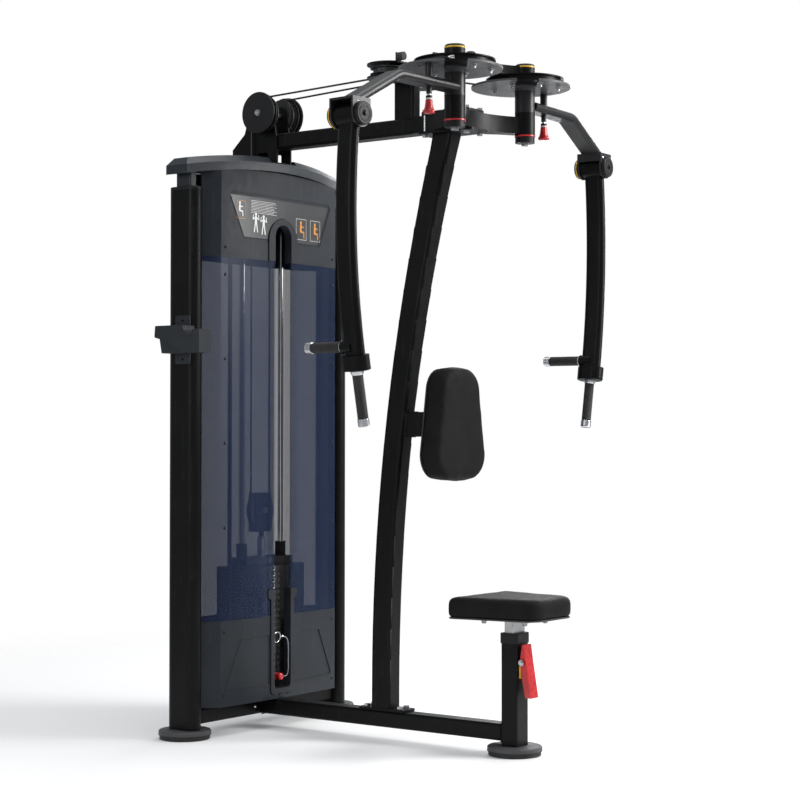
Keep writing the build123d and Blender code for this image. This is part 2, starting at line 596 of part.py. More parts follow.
with BuildPart() as selector_stem:
    with BuildSketch(Plane.XY.offset(STEM_BOTTOM)):
        with Locations((TOWER_X, 0)):
            Circle(STEM_R)
    extrude(amount=STEM_TOP - STEM_BOTTOM)
    chamfer(selector_stem.faces().sort_by(Axis.Z)[0].edges(), 4)
    for level in range(PLATE_COUNT):
        with Locations(Location((TOWER_X, 0, STACK_BOTTOM + PLATE_T / 2 + level * PLATE_PITCH), (0, 90, 0))):
            Cylinder(PIN_R, 3 * STEM_R, mode=Mode.SUBTRACT)
finish(selector_stem.part, "selector_stem")

# Square fork around the floating pulley, on a threaded neck in the stem.
FORK_W, FORK_GAP, FORK_T = 77, 11.5, 4
FORK_BOTTOM, FORK_TOP, NECK_R = 616, 740, 8
with BuildPart() as floating_bracket:
    for x0 in (FLOAT_X - FORK_GAP - FORK_T, FLOAT_X + FORK_GAP):
        with BuildSketch(plane_x(x0)):
            with Locations((0, (FORK_TOP + FORK_BOTTOM) / 2)):
                RectangleRounded(FORK_W, FORK_TOP - FORK_BOTTOM, 5)
        extrude(amount=FORK_T)
    with BuildSketch(Plane.XY.offset(FORK_BOTTOM)):
        with Locations((FLOAT_X, 0)):
            Rectangle(2 * FORK_GAP, FORK_W - 10)
    extrude(amount=8)
    with BuildSketch(Plane.XY.offset(STEM_TOP)):
        with Locations((TOWER_X, 0)):
            Circle(NECK_R)
    extrude(amount=FORK_BOTTOM - STEM_TOP)
    with BuildSketch(plane_x(FLOAT_X - FORK_GAP - 2 * FORK_T)):
        with Locations((0, FLOAT_Z)):
            Circle(FLOAT_AXLE_R)
    extrude(amount=2 * (FORK_GAP + 2 * FORK_T))
finish(floating_bracket.part, "floating_bracket")

PIN_Z = STACK_BOTTOM + PLATE_T / 2
KNOB_X, KNOB_L, KNOB_R = TOWER_X + 60, 28, 12
with BuildPart() as selector_pin:
    with BuildSketch(plane_x(TOWER_X - STEM_R + 2)):
        with Locations((0, PIN_Z)):
            Circle(PIN_R - FIT)
    extrude(amount=KNOB_X - TOWER_X + STEM_R - 2)
    with BuildSketch(plane_x(KNOB_X)):
        with Locations((0, PIN_Z)):
            Circle(KNOB_R)
    extrude(amount=KNOB_L)
    fillet(selector_pin.edges().filter_by(GeomType.CIRCLE).sort_by(Axis.X)[-1:], 4)
finish(selector_pin.part, "selector_pin")

# Lanyard of the selector pin: its ring hangs on a plate, its other end is fixed in the knob.
LANYARD_R = 1.8
LANYARD_ROUTE = [
    (TOWER_X + 80, 2, 284),
    (TOWER_X + 84, 14, 286),
    (TOWER_X + 86, 30, 276),
    (TOWER_X + 86, 34, 250),
    (TOWER_X + 86, 33, 208),
    (TOWER_X + 86, 34, 180),
    (TOWER_X + 85, 30, 160),
    (TOWER_X + 81, 20, 156),
    (TOWER_X + 78, 13, PIN_Z),
]


def corner_radii(route, share=0.45):
    """Largest even arc that the two runs at each corner allow."""
    radii = []
    for before, corner, after in zip(route, route[1:], route[2:]):
        run_in, run_out = Vector(*corner) - Vector(*before), Vector(*after) - Vector(*corner)
        turn = radians(run_in.get_angle(run_out))
        radii.append(share * min(run_in.length, run_out.length) / tan(turn / 2))
    return radii


with BuildPart() as pin_lanyard:
    with BuildLine() as lanyard_path:
        FilletPolyline(*LANYARD_ROUTE, radius=corner_radii(LANYARD_ROUTE))
    with BuildSketch(Plane(origin=lanyard_path.line @ 0, z_dir=lanyard_path.line % 0)):
        Circle(LANYARD_R)
    sweep()
finish(pin_lanyard.part, "pin_lanyard")

# ---------------------------------------------------------------- weight tower covers
def shell_plan(face, outer, inner):
    """Plan of a shroud skin between two depths: angled edges and a gently bulged middle."""
    corners = []
    for depth in (outer, inner):
        side = TOWER_X + face * (SHELL_SIDE_X - depth)
        edge = TOWER_X + face * (SHELL_EDGE - depth)
        middle = TOWER_X + face * (SHELL_FRONT - depth)
        corners.append((side, edge, middle))
    (side, edge, middle), (side_in, edge_in, middle_in) = corners
    with BuildLine() as outline:
        ThreePointArc((edge, -SHELL_Y), (middle, 0), (edge, SHELL_Y))
        Polyline((edge, SHELL_Y), (side, SHELL_SIDE_Y), (side_in, SHELL_SIDE_Y), (edge_in, SHELL_Y))
        ThreePointArc((edge_in, SHELL_Y), (middle_in, 0), (edge_in, -SHELL_Y))
        Polyline((edge_in, -SHELL_Y), (side_in, -SHELL_SIDE_Y), (side, -SHELL_SIDE_Y), (edge, -SHELL_Y))
    make_face(outline.edges())


def slot_outline(grow=0, top=SLOT_TOP, bottom=SLOT_BOTTOM, mode=Mode.ADD):
    """Upright slot with a round top and rounded lower corners; local x is Y."""
    half = SLOT_W / 2 + grow
    with Locations((0, (top + bottom) / 2)):
        SlotOverall(top - bottom + 2 * grow, 2 * half, rotation=90, mode=mode)
    with Locations((0, bottom - grow + half)):
        RectangleRounded(2 * half, 2 * half, 14, mode=mode)


CAP_Y, CAP_END_X, CAP_MID_X, CAP_T = 400, 43, 100, 4
CAP_END_Z, CAP_MID_Z = (1722, 1770), (1760, 1806)
CAP_CHAMFER = 20
CAP_POST_D, CAP_POST_W = 60, 30
RECESS_T = 1.5
RECESS_R = 14
LOWER_RECESS = [(60, 295), (190, 295), (262, 140), (60, 135)]
PLACARD = [(255, 1681), (190, 1534), (-190, 1534), (-255, 1681)]


def shell(name, z0, z1, recesses=()):
    """Front and rear shells between two heights, under the cap's arched rim.

    Shallow recesses and the slot are in the front.
    """
    with BuildPart() as cover:
        for face in (1, -1):
            with BuildSketch(Plane.XY.offset(z0)):
                shell_plan(face, 0, RECESS_T)
            extrude(amount=z1 - z0)
        for outline in recesses:
            with BuildSketch(plane_x(TOWER_X)):
                with BuildLine():
                    FilletPolyline(*outline, close=True, radius=RECESS_R)
                make_face()
            extrude(amount=2 * SHELL_FRONT, mode=Mode.SUBTRACT)
        for face in (1, -1):
            with BuildSketch(Plane.XY.offset(z0)):
                shell_plan(face, RECESS_T, SHELL_T)
            extrude(amount=z1 - z0)
        with BuildSketch(plane_x(TOWER_X)):
            slot_outline(SLEEVE_T + GAP)
        extrude(amount=2 * SHELL_FRONT, mode=Mode.SUBTRACT)
        with BuildSketch(plane_x(TOWER_X - 2 * SHELL_FRONT)):
            with BuildLine():
                ThreePointArc(
                    (-CAP_Y, CAP_END_Z[0] - 1),
                    (0, CAP_MID_Z[0] - 1),
                    (CAP_Y, CAP_END_Z[0] - 1),
                )
                Polyline(
                    (CAP_Y, CAP_END_Z[0] - 1),
                    (CAP_Y, 0),
                    (-CAP_Y, 0),
                    (-CAP_Y, CAP_END_Z[0] - 1),
                )
            make_face()
        extrude(amount=4 * SHELL_FRONT, mode=Mode.INTERSECT)
    finish(cover.part, name)


SLEEVE_T, SLEEVE_D, FRAME_RIM, FRAME_T = 2.5, 26, 16.5, 3
WIDE_RIM, WIDE_BOTTOM, WIDE_TOP = 30.5, 437, SLOT_TOP - 12
shell("shroud_lower", SHELL_Z[0], SHELL_Z[1], [LOWER_RECESS, [(-y, z) for y, z in LOWER_RECESS]])
shell("shroud_window", SHELL_Z[1], SHELL_Z[2])
shell("shroud_upper", SHELL_Z[2], SHELL_Z[3], [PLACARD])

with BuildPart() as slot_frame:
    with BuildSketch(plane_x(TOWER_X + SHELL_FRONT + GAP)):
        slot_outline(FRAME_RIM)
        slot_outline(WIDE_RIM, top=WIDE_TOP, bottom=WIDE_BOTTOM)
        slot_outline(mode=Mode.SUBTRACT)
    extrude(amount=FRAME_T)
    with BuildSketch(plane_x(TOWER_X + SHELL_FRONT + GAP - SLEEVE_D)):
        slot_outline(SLEEVE_T)
        slot_outline(mode=Mode.SUBTRACT)
    extrude(amount=SLEEVE_D)
finish(slot_frame.part, "slot_frame")



def cap_body(inset, drop):
    """Solid arched cap, made smaller all round by the inset and opened below by the drop."""
    y, end_x, mid_x = CAP_Y - inset, CAP_END_X - inset, CAP_MID_X - inset
    with BuildPart() as body:
        with BuildSketch():
            with BuildLine():
                ThreePointArc((TOWER_X + end_x, -y), (TOWER_X + mid_x, 0), (TOWER_X + end_x, y))
                Line((TOWER_X + end_x, y), (TOWER_X - end_x, y))
                ThreePointArc((TOWER_X - end_x, y), (TOWER_X - mid_x, 0), (TOWER_X - end_x, -y))
                Line((TOWER_X - end_x, -y), (TOWER_X + end_x, -y))
            make_face()
        extrude(amount=CAP_MID_Z[1] + inset)
        with BuildSketch(plane_x(TOWER_X - 2 * CAP_MID_X)):
            with BuildLine():
                Line((-CAP_Y, CAP_END_Z[0] - drop), (-CAP_Y, CAP_END_Z[1] - inset))
                ThreePointArc(
                    (-CAP_Y, CAP_END_Z[1] - inset),
                    (0, CAP_MID_Z[1] - inset),
                    (CAP_Y, CAP_END_Z[1] - inset),
                )
                Line((CAP_Y, CAP_END_Z[1] - inset), (CAP_Y, CAP_END_Z[0] - drop))
                ThreePointArc(
                    (CAP_Y, CAP_END_Z[0] - drop),
                    (0, CAP_MID_Z[0] - drop),
                    (-CAP_Y, CAP_END_Z[0] - drop),
                )
            make_face()
        extrude(amount=4 * CAP_MID_X, mode=Mode.INTERSECT)
        top = body.faces().filter_by(lambda f: f.normal_at().Z > 0.9).sort_by(Axis.Z)[-1]
        chamfer(top.edges(), CAP_CHAMFER)
    return body.part


cap_outside, cap_inside = cap_body(0, 0), cap_body(CAP_T, 60)
with BuildPart() as tower_cap:
    add(cap_outside)
    add(cap_inside, mode=Mode.SUBTRACT)
    with Locations((TOWER_X - 1, 0, CAP_MID_Z[1])):
        Box(190, 124, 200, mode=Mode.SUBTRACT)
    with BuildSketch(Plane.XY.offset(COLUMN_TOP + 10)):
        with Locations((TOWER_X, COLUMN_Y), (TOWER_X, -COLUMN_Y)):
            RectangleRounded(CAP_POST_D, CAP_POST_W, 6)
    extrude(amount=CAP_END_Z[1] + 5 - COLUMN_TOP - 10)
finish(tower_cap.part, "tower_cap")

# Holder for small things, on the outside of the right column.
HOLDER_Y = -COLUMN_Y - COLUMN_W / 2
HOLDER_D, BAND_D, HOLDER_T = 44, 52, 4
TAB_X, TAB_W, TAB_Z = TOWER_X + 14, 60, (1142, 1290)
with BuildPart() as accessory_holder:
    with BuildSketch(plane_y(HOLDER_Y)):
        with BuildLine():
            FilletPolyline(
                (TOWER_X - 43, 1215),
                (TOWER_X - 35, 1174),
                (TOWER_X + 50, 1174),
                (TOWER_X + 50, 1240),
                (TOWER_X - 43, 1240),
                close=True,
                radius=4,
            )
        make_face()
    extrude(amount=HOLDER_D)
    with BuildSketch(plane_y(HOLDER_Y)):
        with BuildLine():
            FilletPolyline(
                (TOWER_X - 58, 1223),
                (TOWER_X - 55, 1258),
                (TOWER_X + 58, 1258),
                (TOWER_X + 62, 1242),
                (TOWER_X + 96, 1218),
                (TOWER_X + 96, 1176),
                (TOWER_X + 70, 1174),
                (TOWER_X - 25, 1214),
                close=True,
                radius=4,
            )
        make_face()
    extrude(amount=BAND_D)
    with Locations((TOWER_X + 1, HOLDER_Y - BAND_D / 2, 1220)):
        Box(86, BAND_D - 2 * HOLDER_T, 80, align=UPRIGHT, mode=Mode.SUBTRACT)
    with Locations((TOWER_X + 6, HOLDER_Y - HOLDER_D / 2, 1174 + HOLDER_T)):
        Box(68, HOLDER_D - 2 * HOLDER_T, 60, align=UPRIGHT, mode=Mode.SUBTRACT)
    with Locations((TOWER_X + 111, HOLDER_Y - BAND_D / 2, 1174)):
        Box(30, BAND_D, 70, align=UPRIGHT)
        with Locations((0, 0, HOLDER_T)):
            Box(22, BAND_D - 2 * HOLDER_T, 80, align=UPRIGHT, mode=Mode.SUBTRACT)
    with BuildSketch(plane_y(HOLDER_Y)):
        with Locations((TAB_X, sum(TAB_Z) / 2)):
            RectangleRounded(TAB_W, TAB_Z[1] - TAB_Z[0], 6)
        with Locations((TAB_X, TAB_Z[0] + 14), (TAB_X, TAB_Z[1] - 16)):
            Circle(4, mode=Mode.SUBTRACT)
    extrude(amount=HOLDER_T)
finish(accessory_holder.part, "accessory_holder")

# ---------------------------------------------------------------- back pad and seat
PAD_X, PAD_T = TOWER_X + 717, 70
with BuildPart() as back_pad:
    with BuildSketch(plane_x(PAD_X)):
        with BuildLine():
            FilletPolyline(
                (0, 789),
                (143, 797),
                (91, 1129),
                (-91, 1129),
                (-143, 797),
                close=True,
                radius=[400, 75, 72, 72, 75],
            )
        make_face()
    extrude(amount=PAD_T)
    fillet(back_pad.faces().sort_by(Axis.X)[-1].edges(), 14)
finish(back_pad.part, "back_pad")

BRACKET_Z, BRACKET_H, BRACKET_W = 959, 75, 50
lean = radians(7.38)
column_front_x = main_column_x(BRACKET_Z) + MAIN_D / 2 / cos(lean) + GAP
with BuildPart() as pad_bracket:
    with BuildSketch(plane_x(column_front_x - 15)):
        with Locations((0, BRACKET_Z)):
            tube_section(BRACKET_W, BRACKET_H, 8)
    extrude(amount=PAD_X - 6 - column_front_x + 15)
    column_face = Plane(origin=(column_front_x, 0, BRACKET_Z), z_dir=(cos(lean), 0, -sin(lean)))
    split(bisect_by=column_face, keep=Keep.TOP)
    with BuildSketch(plane_x(PAD_X - 6)):
        with Locations((0, BRACKET_Z)):
            RectangleRounded(130, 200, 15)
    extrude(amount=6)
finish(pad_bracket.part, "pad_bracket")

POST_R = 10
STEM_D, STEM_W = 35, 58
COLLAR_TOP = POST_TOP + 30
with BuildPart() as seat_post:
    with BuildSketch(Plane.XY.offset(GROUND_CLEARANCE)):
        with Locations((SEAT_X, 0)):
            tube_section(POST_D, POST_W, POST_R)
    extrude(amount=POST_TOP - GROUND_CLEARANCE)
    with BuildSketch(plane_y(LUG_W / 2)):
        with Locations((LEVER_X, LEVER_Z)):
            Circle(2 * LEVER_PIN_R)
            Rectangle(LEVER_X - SEAT_X - POST_D / 2, 4 * LEVER_PIN_R, align=(Align.MAX, Align.CENTER))
            Circle(LEVER_PIN_R, mode=Mode.SUBTRACT)
    extrude(amount=LUG_W)
finish(seat_post.part, "seat_post")

with BuildPart() as seat_collar:
    with BuildSketch(Plane.XY.offset(POST_TOP)):
        with Locations((SEAT_X, 0)):
            RectangleRounded(POST_D + 6, POST_W + 6, POST_R + 3)
    extrude(amount=COLLAR_TOP - POST_TOP)
    fillet(seat_collar.faces().sort_by(Axis.Z)[-1].edges(), 3)
    with BuildSketch(Plane.XY.offset(POST_TOP - 100)):
        with Locations((SEAT_X, 0)):
            RectangleRounded(POST_D - 2 * WALL, POST_W - 2 * WALL, POST_R - WALL)
    extrude(amount=100)
    with BuildSketch(Plane.XY.offset(POST_TOP - 100)):
        with Locations((SEAT_X, 0)):
            RectangleRounded(STEM_D + 2 * GAP, STEM_W + 2 * GAP, 4)
    extrude(amount=200, mode=Mode.SUBTRACT)
finish(seat_collar.part, "seat_collar")

SEAT_Z, SEAT_T = 398, 62
with BuildPart() as seat_stem:
    with BuildSketch(Plane.XY.offset(110)):
        with Locations((SEAT_X, 0)):
            tube_section(STEM_D, STEM_W, 4)
    extrude(amount=SEAT_Z - 6 - 110)
    with BuildSketch(Plane.XY.offset(SEAT_Z - 6)):
        with Locations((SEAT_X, 0)):
            RectangleRounded(180, 150, 12)
    extrude(amount=6)
    with Locations(*[(SEAT_X + x, y, SEAT_Z - 12) for x in (-70, 70) for y in (-55, 55)]):
        Cylinder(8, 6, align=UPRIGHT)
finish(seat_stem.part, "seat_stem")

with BuildPart() as seat_cushion:
    with BuildSketch(Plane.XY.offset(SEAT_Z)):
        with BuildLine():
            FilletPolyline(
                (TOWER_X + 828, -157),
                (TOWER_X + 1112, -112),
                (TOWER_X + 1112, 112),
                (TOWER_X + 828, 157),
                close=True,
                radius=[18, 55, 55, 18],
            )
        make_face()
    extrude(amount=SEAT_T)
    fillet(seat_cushion.faces().sort_by(Axis.Z)[-1].edges(), 12)
finish(seat_cushion.part, "seat_cushion")

LEVER_OUTLINE = [(1, 52), (6, 52), (14, 0), (31, -101), (12, -101), (-7, -12), (-7, 8)]


def lever_outline(shift):
    """Side view of the lever, moved back by the shift; the front runs straight up and down."""
    with BuildLine() as outline:
        Polyline(*[(LEVER_X + x - shift, LEVER_Z + z) for x, z in LEVER_OUTLINE], close=True)
    make_face(outline.edges())


with BuildPart() as seat_lever:
    with BuildSketch(plane_y(LEVER_W / 2)):
        lever_outline(0)
    extrude(amount=LEVER_W)
    with BuildSketch(plane_y(LEVER_W / 2 - LEVER_T)):
        lever_outline(LEVER_T)
        lever_outline(4 * LEVER_T)
    extrude(amount=LEVER_W - 2 * LEVER_T, mode=Mode.SUBTRACT)
    with Locations(Location((LEVER_X, 0, LEVER_Z), (90, 0, 0))):
        Cylinder(LEVER_PIN_R + FIT, 2 * LEVER_W, mode=Mode.SUBTRACT)
finish(seat_lever.part, "seat_lever")

# ---------------------------------------------------------------- arms
# Right arm frame: x runs out along the arm, y is up and z points to the rear.
skew = radians(ARM_SKEW)
ARM_PLANE = Plane(
    origin=(PIVOT_X, -PIVOT_Y, 0),
    x_dir=(-sin(skew), -cos(skew), 0),
    z_dir=(-cos(skew), sin(skew), 0),
)


def arm_circle(reach, z, radius, t0, t1, mode=Mode.ADD):
    """Round piece whose axis crosses the right arm at a reach and height, between two depths."""
    with BuildSketch(ARM_PLANE.offset(t0)) as disc:
        with Locations((reach, z)):
            Circle(radius)
    extrude(disc.sketch, amount=t1 - t0, mode=mode)


PIN_SLEEVE_Z, PIN_TIP_Z = 1889, PIVOT_Z[3] - GAP
CLEVIS_IN, CLEVIS_T, CLEVIS_R = 36.3, 6, 36
CLEVIS_TOP = 1830
ELBOW_PIN_R = 10
pin_x = PIVOT_X - HOLE_CIRCLE_R * sin(skew)
pin_y = -PIVOT_Y - HOLE_CIRCLE_R * cos(skew)

CAM_SLOT_TURN = 53.6         # the cam discs' open slots point this far right of forwards, degrees
SLOT_ALIGN = (Align.MIN, Align.CENTER, Align.MIN)
with BuildPart() as cam_right:
    with BuildSketch(Plane.XY.offset(PIVOT_Z[3])):
        with Locations((PIVOT_X - CAM_SHIFT, -PIVOT_Y)):
            Circle(CAM_R)
        for angle in HOLE_ANGLES:
            turn = radians(angle - ARM_SKEW)
            with Locations((PIVOT_X + HOLE_CIRCLE_R * sin(turn), -PIVOT_Y - HOLE_CIRCLE_R * cos(turn))):
                Circle(PIN_R + 0.5, mode=Mode.SUBTRACT)
    extrude(amount=CAM_T)
    for z0, z1, radius in (
        (PIVOT_Z[2] + GAP, PIVOT_Z[3], PIVOT_R),
        (PIVOT_Z[3] + CAM_T, CAM_FLANGE_Z, CAM_GROOVE_R),
        (CAM_FLANGE_Z, CAM_FLANGE_Z + CABLE_R, CAM_GROOVE_R + 9),
        (CAM_FLANGE_Z + CABLE_R, PIVOT_Z[4] - GAP, PIVOT_R),
    ):
        with BuildSketch(Plane.XY.offset(z0)):
            with Locations((PIVOT_X, -PIVOT_Y)):
                Circle(radius)
        extrude(amount=z1 - z0)
    with Locations((PIVOT_X - 93, -PIVOT_Y + 35, CAM_CABLE_Z)):
        Box(10, 18, 50, align=UPRIGHT)
    with Locations((PIVOT_X, -PIVOT_Y, PIVOT_Z[3])):
        Cylinder(SHAFT_R + FIT, 3 * BEAM_H, mode=Mode.SUBTRACT)

# Both discs have their open slot, from the rim to the hub, on the same side, so only the rest is mirrored.
for side, sign, blank in (("right", -1, cam_right.part), ("left", 1, cam_right.part.mirror(Plane.XZ))):
    slot_turn = Location((PIVOT_X, sign * PIVOT_Y, PIVOT_Z[3]), (0, 0, -CAM_SLOT_TURN))
    slot_start = slot_turn * Location((PIVOT_R + 1, 0, 0))
    with BuildPart() as cam:
        add(blank)
        with Locations(slot_start):
            Box(2 * CAM_R, 2 * PIVOT_R + 4, CAM_T, align=SLOT_ALIGN, mode=Mode.SUBTRACT)
    finish(cam.part, f"cam_{side}")

arm_end_z = ARM_Z - (ARM_BEND_END - ARM_BEND_R) * tan(radians(ARM_DROP))
with BuildPart() as upper_arm_right:
    with BuildLine(ARM_PLANE) as arm_path:
        FilletPolyline((18, ARM_Z), (ARM_BEND_R, ARM_Z), (ARM_BEND_END, arm_end_z), radius=70)
    with BuildSketch(Plane(origin=arm_path.line @ 0, x_dir=ARM_PLANE.z_dir, z_dir=ARM_PLANE.x_dir)):
        SlotOverall(ARM_W, ARM_T)
        SlotOverall(ARM_W - 2 * WALL, ARM_T - 2 * WALL, mode=Mode.SUBTRACT)
    sweep()
    split(bisect_by=Plane.XY.offset(CLEVIS_TOP - CLEVIS_T), keep=Keep.TOP)
    with BuildSketch(Plane.XY.offset(PIVOT_Z[1] + GAP)):
        with Locations((PIVOT_X, -PIVOT_Y)):
            Circle(PIVOT_R)
    extrude(amount=PIVOT_Z[2] - PIVOT_Z[1] - GAP)
    for z0, z1, radius in ((PIN_SLEEVE_Z, ARM_Z, 8), (ARM_Z, PIN_TIP_Z - GAP, 11)):
        with BuildSketch(Plane.XY.offset(z0)):
            with Locations((pin_x, pin_y)):
                Circle(radius)
        extrude(amount=z1 - z0)
    with Locations((pin_x, pin_y, ARM_Z)):
        Cylinder(PIN_R + FIT, 4 * ARM_W, mode=Mode.SUBTRACT)
    with Locations((PIVOT_X, -PIVOT_Y, ARM_Z)):
        Cylinder(SHAFT_R + FIT, 4 * ARM_W, mode=Mode.SUBTRACT)
    for t0 in (CLEVIS_IN, -CLEVIS_IN - CLEVIS_T):
        with BuildSketch(ARM_PLANE.offset(t0)):
            with Locations((ELBOW_R, ELBOW_Z)):
                Circle(CLEVIS_R)
            with Locations((ELBOW_R, (ELBOW_Z + CLEVIS_TOP) / 2)):
                Rectangle(2 * CLEVIS_R, CLEVIS_TOP - ELBOW_Z)
            with Locations((ELBOW_R, ELBOW_Z)):
                Circle(ELBOW_PIN_R, mode=Mode.SUBTRACT)
        extrude(amount=CLEVIS_T)
    with BuildSketch(ARM_PLANE.offset(-CLEVIS_IN)):
        with Locations((ELBOW_R, CLEVIS_TOP - CLEVIS_T / 2)):
            Rectangle(2 * CLEVIS_R, CLEVIS_T)
        with Locations((ELBOW_R - CLEVIS_R + CLEVIS_T / 2, CLEVIS_TOP - 13)):
            Rectangle(CLEVIS_T, 26)
    extrude(amount=2 * CLEVIS_IN)
both_sides(upper_arm_right.part, "upper_arm")

FRONT_CAP, REAR_CAP, ELBOW_CAP_R = 54, 58, 32
clevis_out = CLEVIS_IN + CLEVIS_T
with BuildPart() as elbow_caps_right:
    arm_circle(ELBOW_R, ELBOW_Z, ELBOW_PIN_R, -clevis_out, clevis_out)
    arm_circle(ELBOW_R, ELBOW_Z, ELBOW_CAP_R, -FRONT_CAP, -clevis_out)
    arm_circle(ELBOW_R, ELBOW_Z, ELBOW_CAP_R, clevis_out, REAR_CAP)
    fillet(elbow_caps_right.edges().filter_by(GeomType.CIRCLE).sort_by(Axis.X)[-1:], 4)
    fillet(elbow_caps_right.edges().filter_by(GeomType.CIRCLE).sort_by(Axis.X)[:1], 6)
both_sides(elbow_caps_right.part, "elbow_caps")

KNOB_BOTTOM, KNOB_TOP = 1833, 1877
with BuildPart() as pull_pin_right:
    with BuildSketch(Plane(origin=(pin_x, pin_y, 0), x_dir=(1, 0, 0), z_dir=(0, -1, 0))):
        with BuildLine():
            Polyline(
                (0, KNOB_BOTTOM),
                (14, KNOB_BOTTOM),
                (18, KNOB_BOTTOM + 4),
                (17, KNOB_BOTTOM + 9),
                (11, KNOB_BOTTOM + 24),
                (10, KNOB_TOP),
                (10, KNOB_TOP + 6),
                (PIN_R, KNOB_TOP + 6),
                (PIN_R, PIN_TIP_Z),
                (0, PIN_TIP_Z),
                close=True,
            )
        make_face()
    revolve(axis=Axis((pin_x, pin_y, 0), (0, 0, 1)))
both_sides(pull_pin_right.part, "pull_pin")

# The lower arm hangs from the elbow and bows outwards a little.
arm_curve = [(ELBOW_R, ELBOW_Z), (469, LOWER_ARM_MID), (428.4, COLLAR_Z)]
GRIP_Z, GRIP_START, GRIP_L, CONE_L, END_L, END_R = 1165, 38, 102, 8, 21, 16.5
COLLAR_H, DOWN_CONE, DOWN_GRIP, DOWN_END = 42, 12, 119, 22
with BuildPart() as lower_arm_right:
    with BuildLine(ARM_PLANE) as lower_path:
        ThreePointArc(*arm_curve)
    lower_end = lower_path.line @ 1
    lower_dir = lower_path.line % 1
    with BuildSketch(Plane(origin=lower_path.line @ 0, x_dir=ARM_PLANE.z_dir, z_dir=lower_path.line % 0)):
        SlotOverall(ARM_W, ARM_T + 4)
        SlotOverall(ARM_W - 2 * WALL, ARM_T + 4 - 2 * WALL, mode=Mode.SUBTRACT)
    sweep()
    arm_circle(ELBOW_R, ELBOW_Z, HUB_R, -HUB_HALF, HUB_HALF)
    collar_plane = Plane(origin=lower_end, x_dir=ARM_PLANE.z_dir, z_dir=lower_dir)
    with BuildSketch(collar_plane.offset(-COLLAR_H / 2)):
        SlotOverall(85, 56)
    extrude(amount=COLLAR_H)
    fillet(lower_arm_right.faces().sort_by(Axis.Z)[0].edges(), 5)
    with BuildSketch(collar_plane):
        Circle(CORE_R)
    extrude(amount=COLLAR_H / 2 + DOWN_CONE + DOWN_GRIP)
    with BuildSketch(collar_plane.offset(COLLAR_H / 2)):
        Circle(GRIP_R)
    grip_reach = ARM_PLANE.to_local_coords(lower_end).X + (GRIP_Z - COLLAR_Z) * tan(radians(11))
    arm_circle(grip_reach, GRIP_Z, 19, 0, GRIP_START)
    arm_circle(grip_reach, GRIP_Z, CORE_R, GRIP_START, GRIP_START + CONE_L + GRIP_L)
    arm_circle(ELBOW_R, ELBOW_Z, ELBOW_PIN_R + FIT, -2 * HUB_HALF, 2 * HUB_HALF, mode=Mode.SUBTRACT)
both_sides(lower_arm_right.part, "lower_arm")


def ring_on(plane, start, length, radius_0, radius_1, bore):
    """Tapered ring along a plane's normal, from a start distance; a zero bore closes it."""
    with BuildSketch(plane.offset(start)) as near:
        Circle(radius_0)
    with BuildSketch(plane.offset(start + length)) as far:
        Circle(radius_1)
    loft([near.sketch, far.sketch])
    if bore:
        with BuildSketch(plane.offset(start)) as hole:
            Circle(bore)
        extrude(hole.sketch, amount=length, mode=Mode.SUBTRACT)


side_origin = ARM_PLANE.from_local_coords((grip_reach, GRIP_Z, 0))
SIDE_GRIP = Plane(origin=side_origin, x_dir=ARM_PLANE.x_dir, z_dir=ARM_PLANE.z_dir)
GRIPS = (
    (collar_plane, COLLAR_H / 2, DOWN_CONE, DOWN_GRIP, DOWN_END),
    (SIDE_GRIP, GRIP_START, CONE_L, GRIP_L, END_L),
)
with BuildPart() as handle_grips_right:
    for plane, start, cone, grip, end in GRIPS:
        ring_on(plane, start + cone, grip, GRIP_R, GRIP_R, CORE_R)
both_sides(handle_grips_right.part, "handle_grips")

with BuildPart() as handle_ends_right:
    for plane, start, cone, grip, end in GRIPS:
        ring_on(plane, start, cone, 19, GRIP_R, CORE_R)
        ring_on(plane, start + cone + grip, end, END_R, END_R, 0)
both_sides(handle_ends_right.part, "handle_ends")
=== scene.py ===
import math
import random

import bmesh
import bpy
from mathutils import Matrix, Vector
from mathutils.bvhtree import BVHTree


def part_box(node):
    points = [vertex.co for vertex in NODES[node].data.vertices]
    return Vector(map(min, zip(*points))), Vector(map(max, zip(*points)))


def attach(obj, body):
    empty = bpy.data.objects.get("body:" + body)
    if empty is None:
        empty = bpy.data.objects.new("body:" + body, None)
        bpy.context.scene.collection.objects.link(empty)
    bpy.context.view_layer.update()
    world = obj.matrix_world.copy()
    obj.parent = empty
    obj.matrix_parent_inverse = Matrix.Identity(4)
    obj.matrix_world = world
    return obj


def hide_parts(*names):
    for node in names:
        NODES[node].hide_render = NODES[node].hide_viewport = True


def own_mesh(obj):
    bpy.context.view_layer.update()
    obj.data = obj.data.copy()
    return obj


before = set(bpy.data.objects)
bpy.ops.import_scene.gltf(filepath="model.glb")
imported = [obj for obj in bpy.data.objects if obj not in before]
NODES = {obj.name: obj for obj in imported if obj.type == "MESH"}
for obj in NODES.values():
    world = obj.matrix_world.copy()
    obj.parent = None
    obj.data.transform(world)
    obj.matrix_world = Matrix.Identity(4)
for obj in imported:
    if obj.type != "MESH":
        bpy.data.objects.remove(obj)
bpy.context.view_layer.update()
rng = random.Random(7)
UP, DOWN = (0, 0, 1), (0, 0, -1)
OUT = Vector((1, 0, 0))                         # the way the tower's front faces

# ---- places, from the CAD nodes


def centre(node):
    low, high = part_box(node)
    return (low + high) / 2


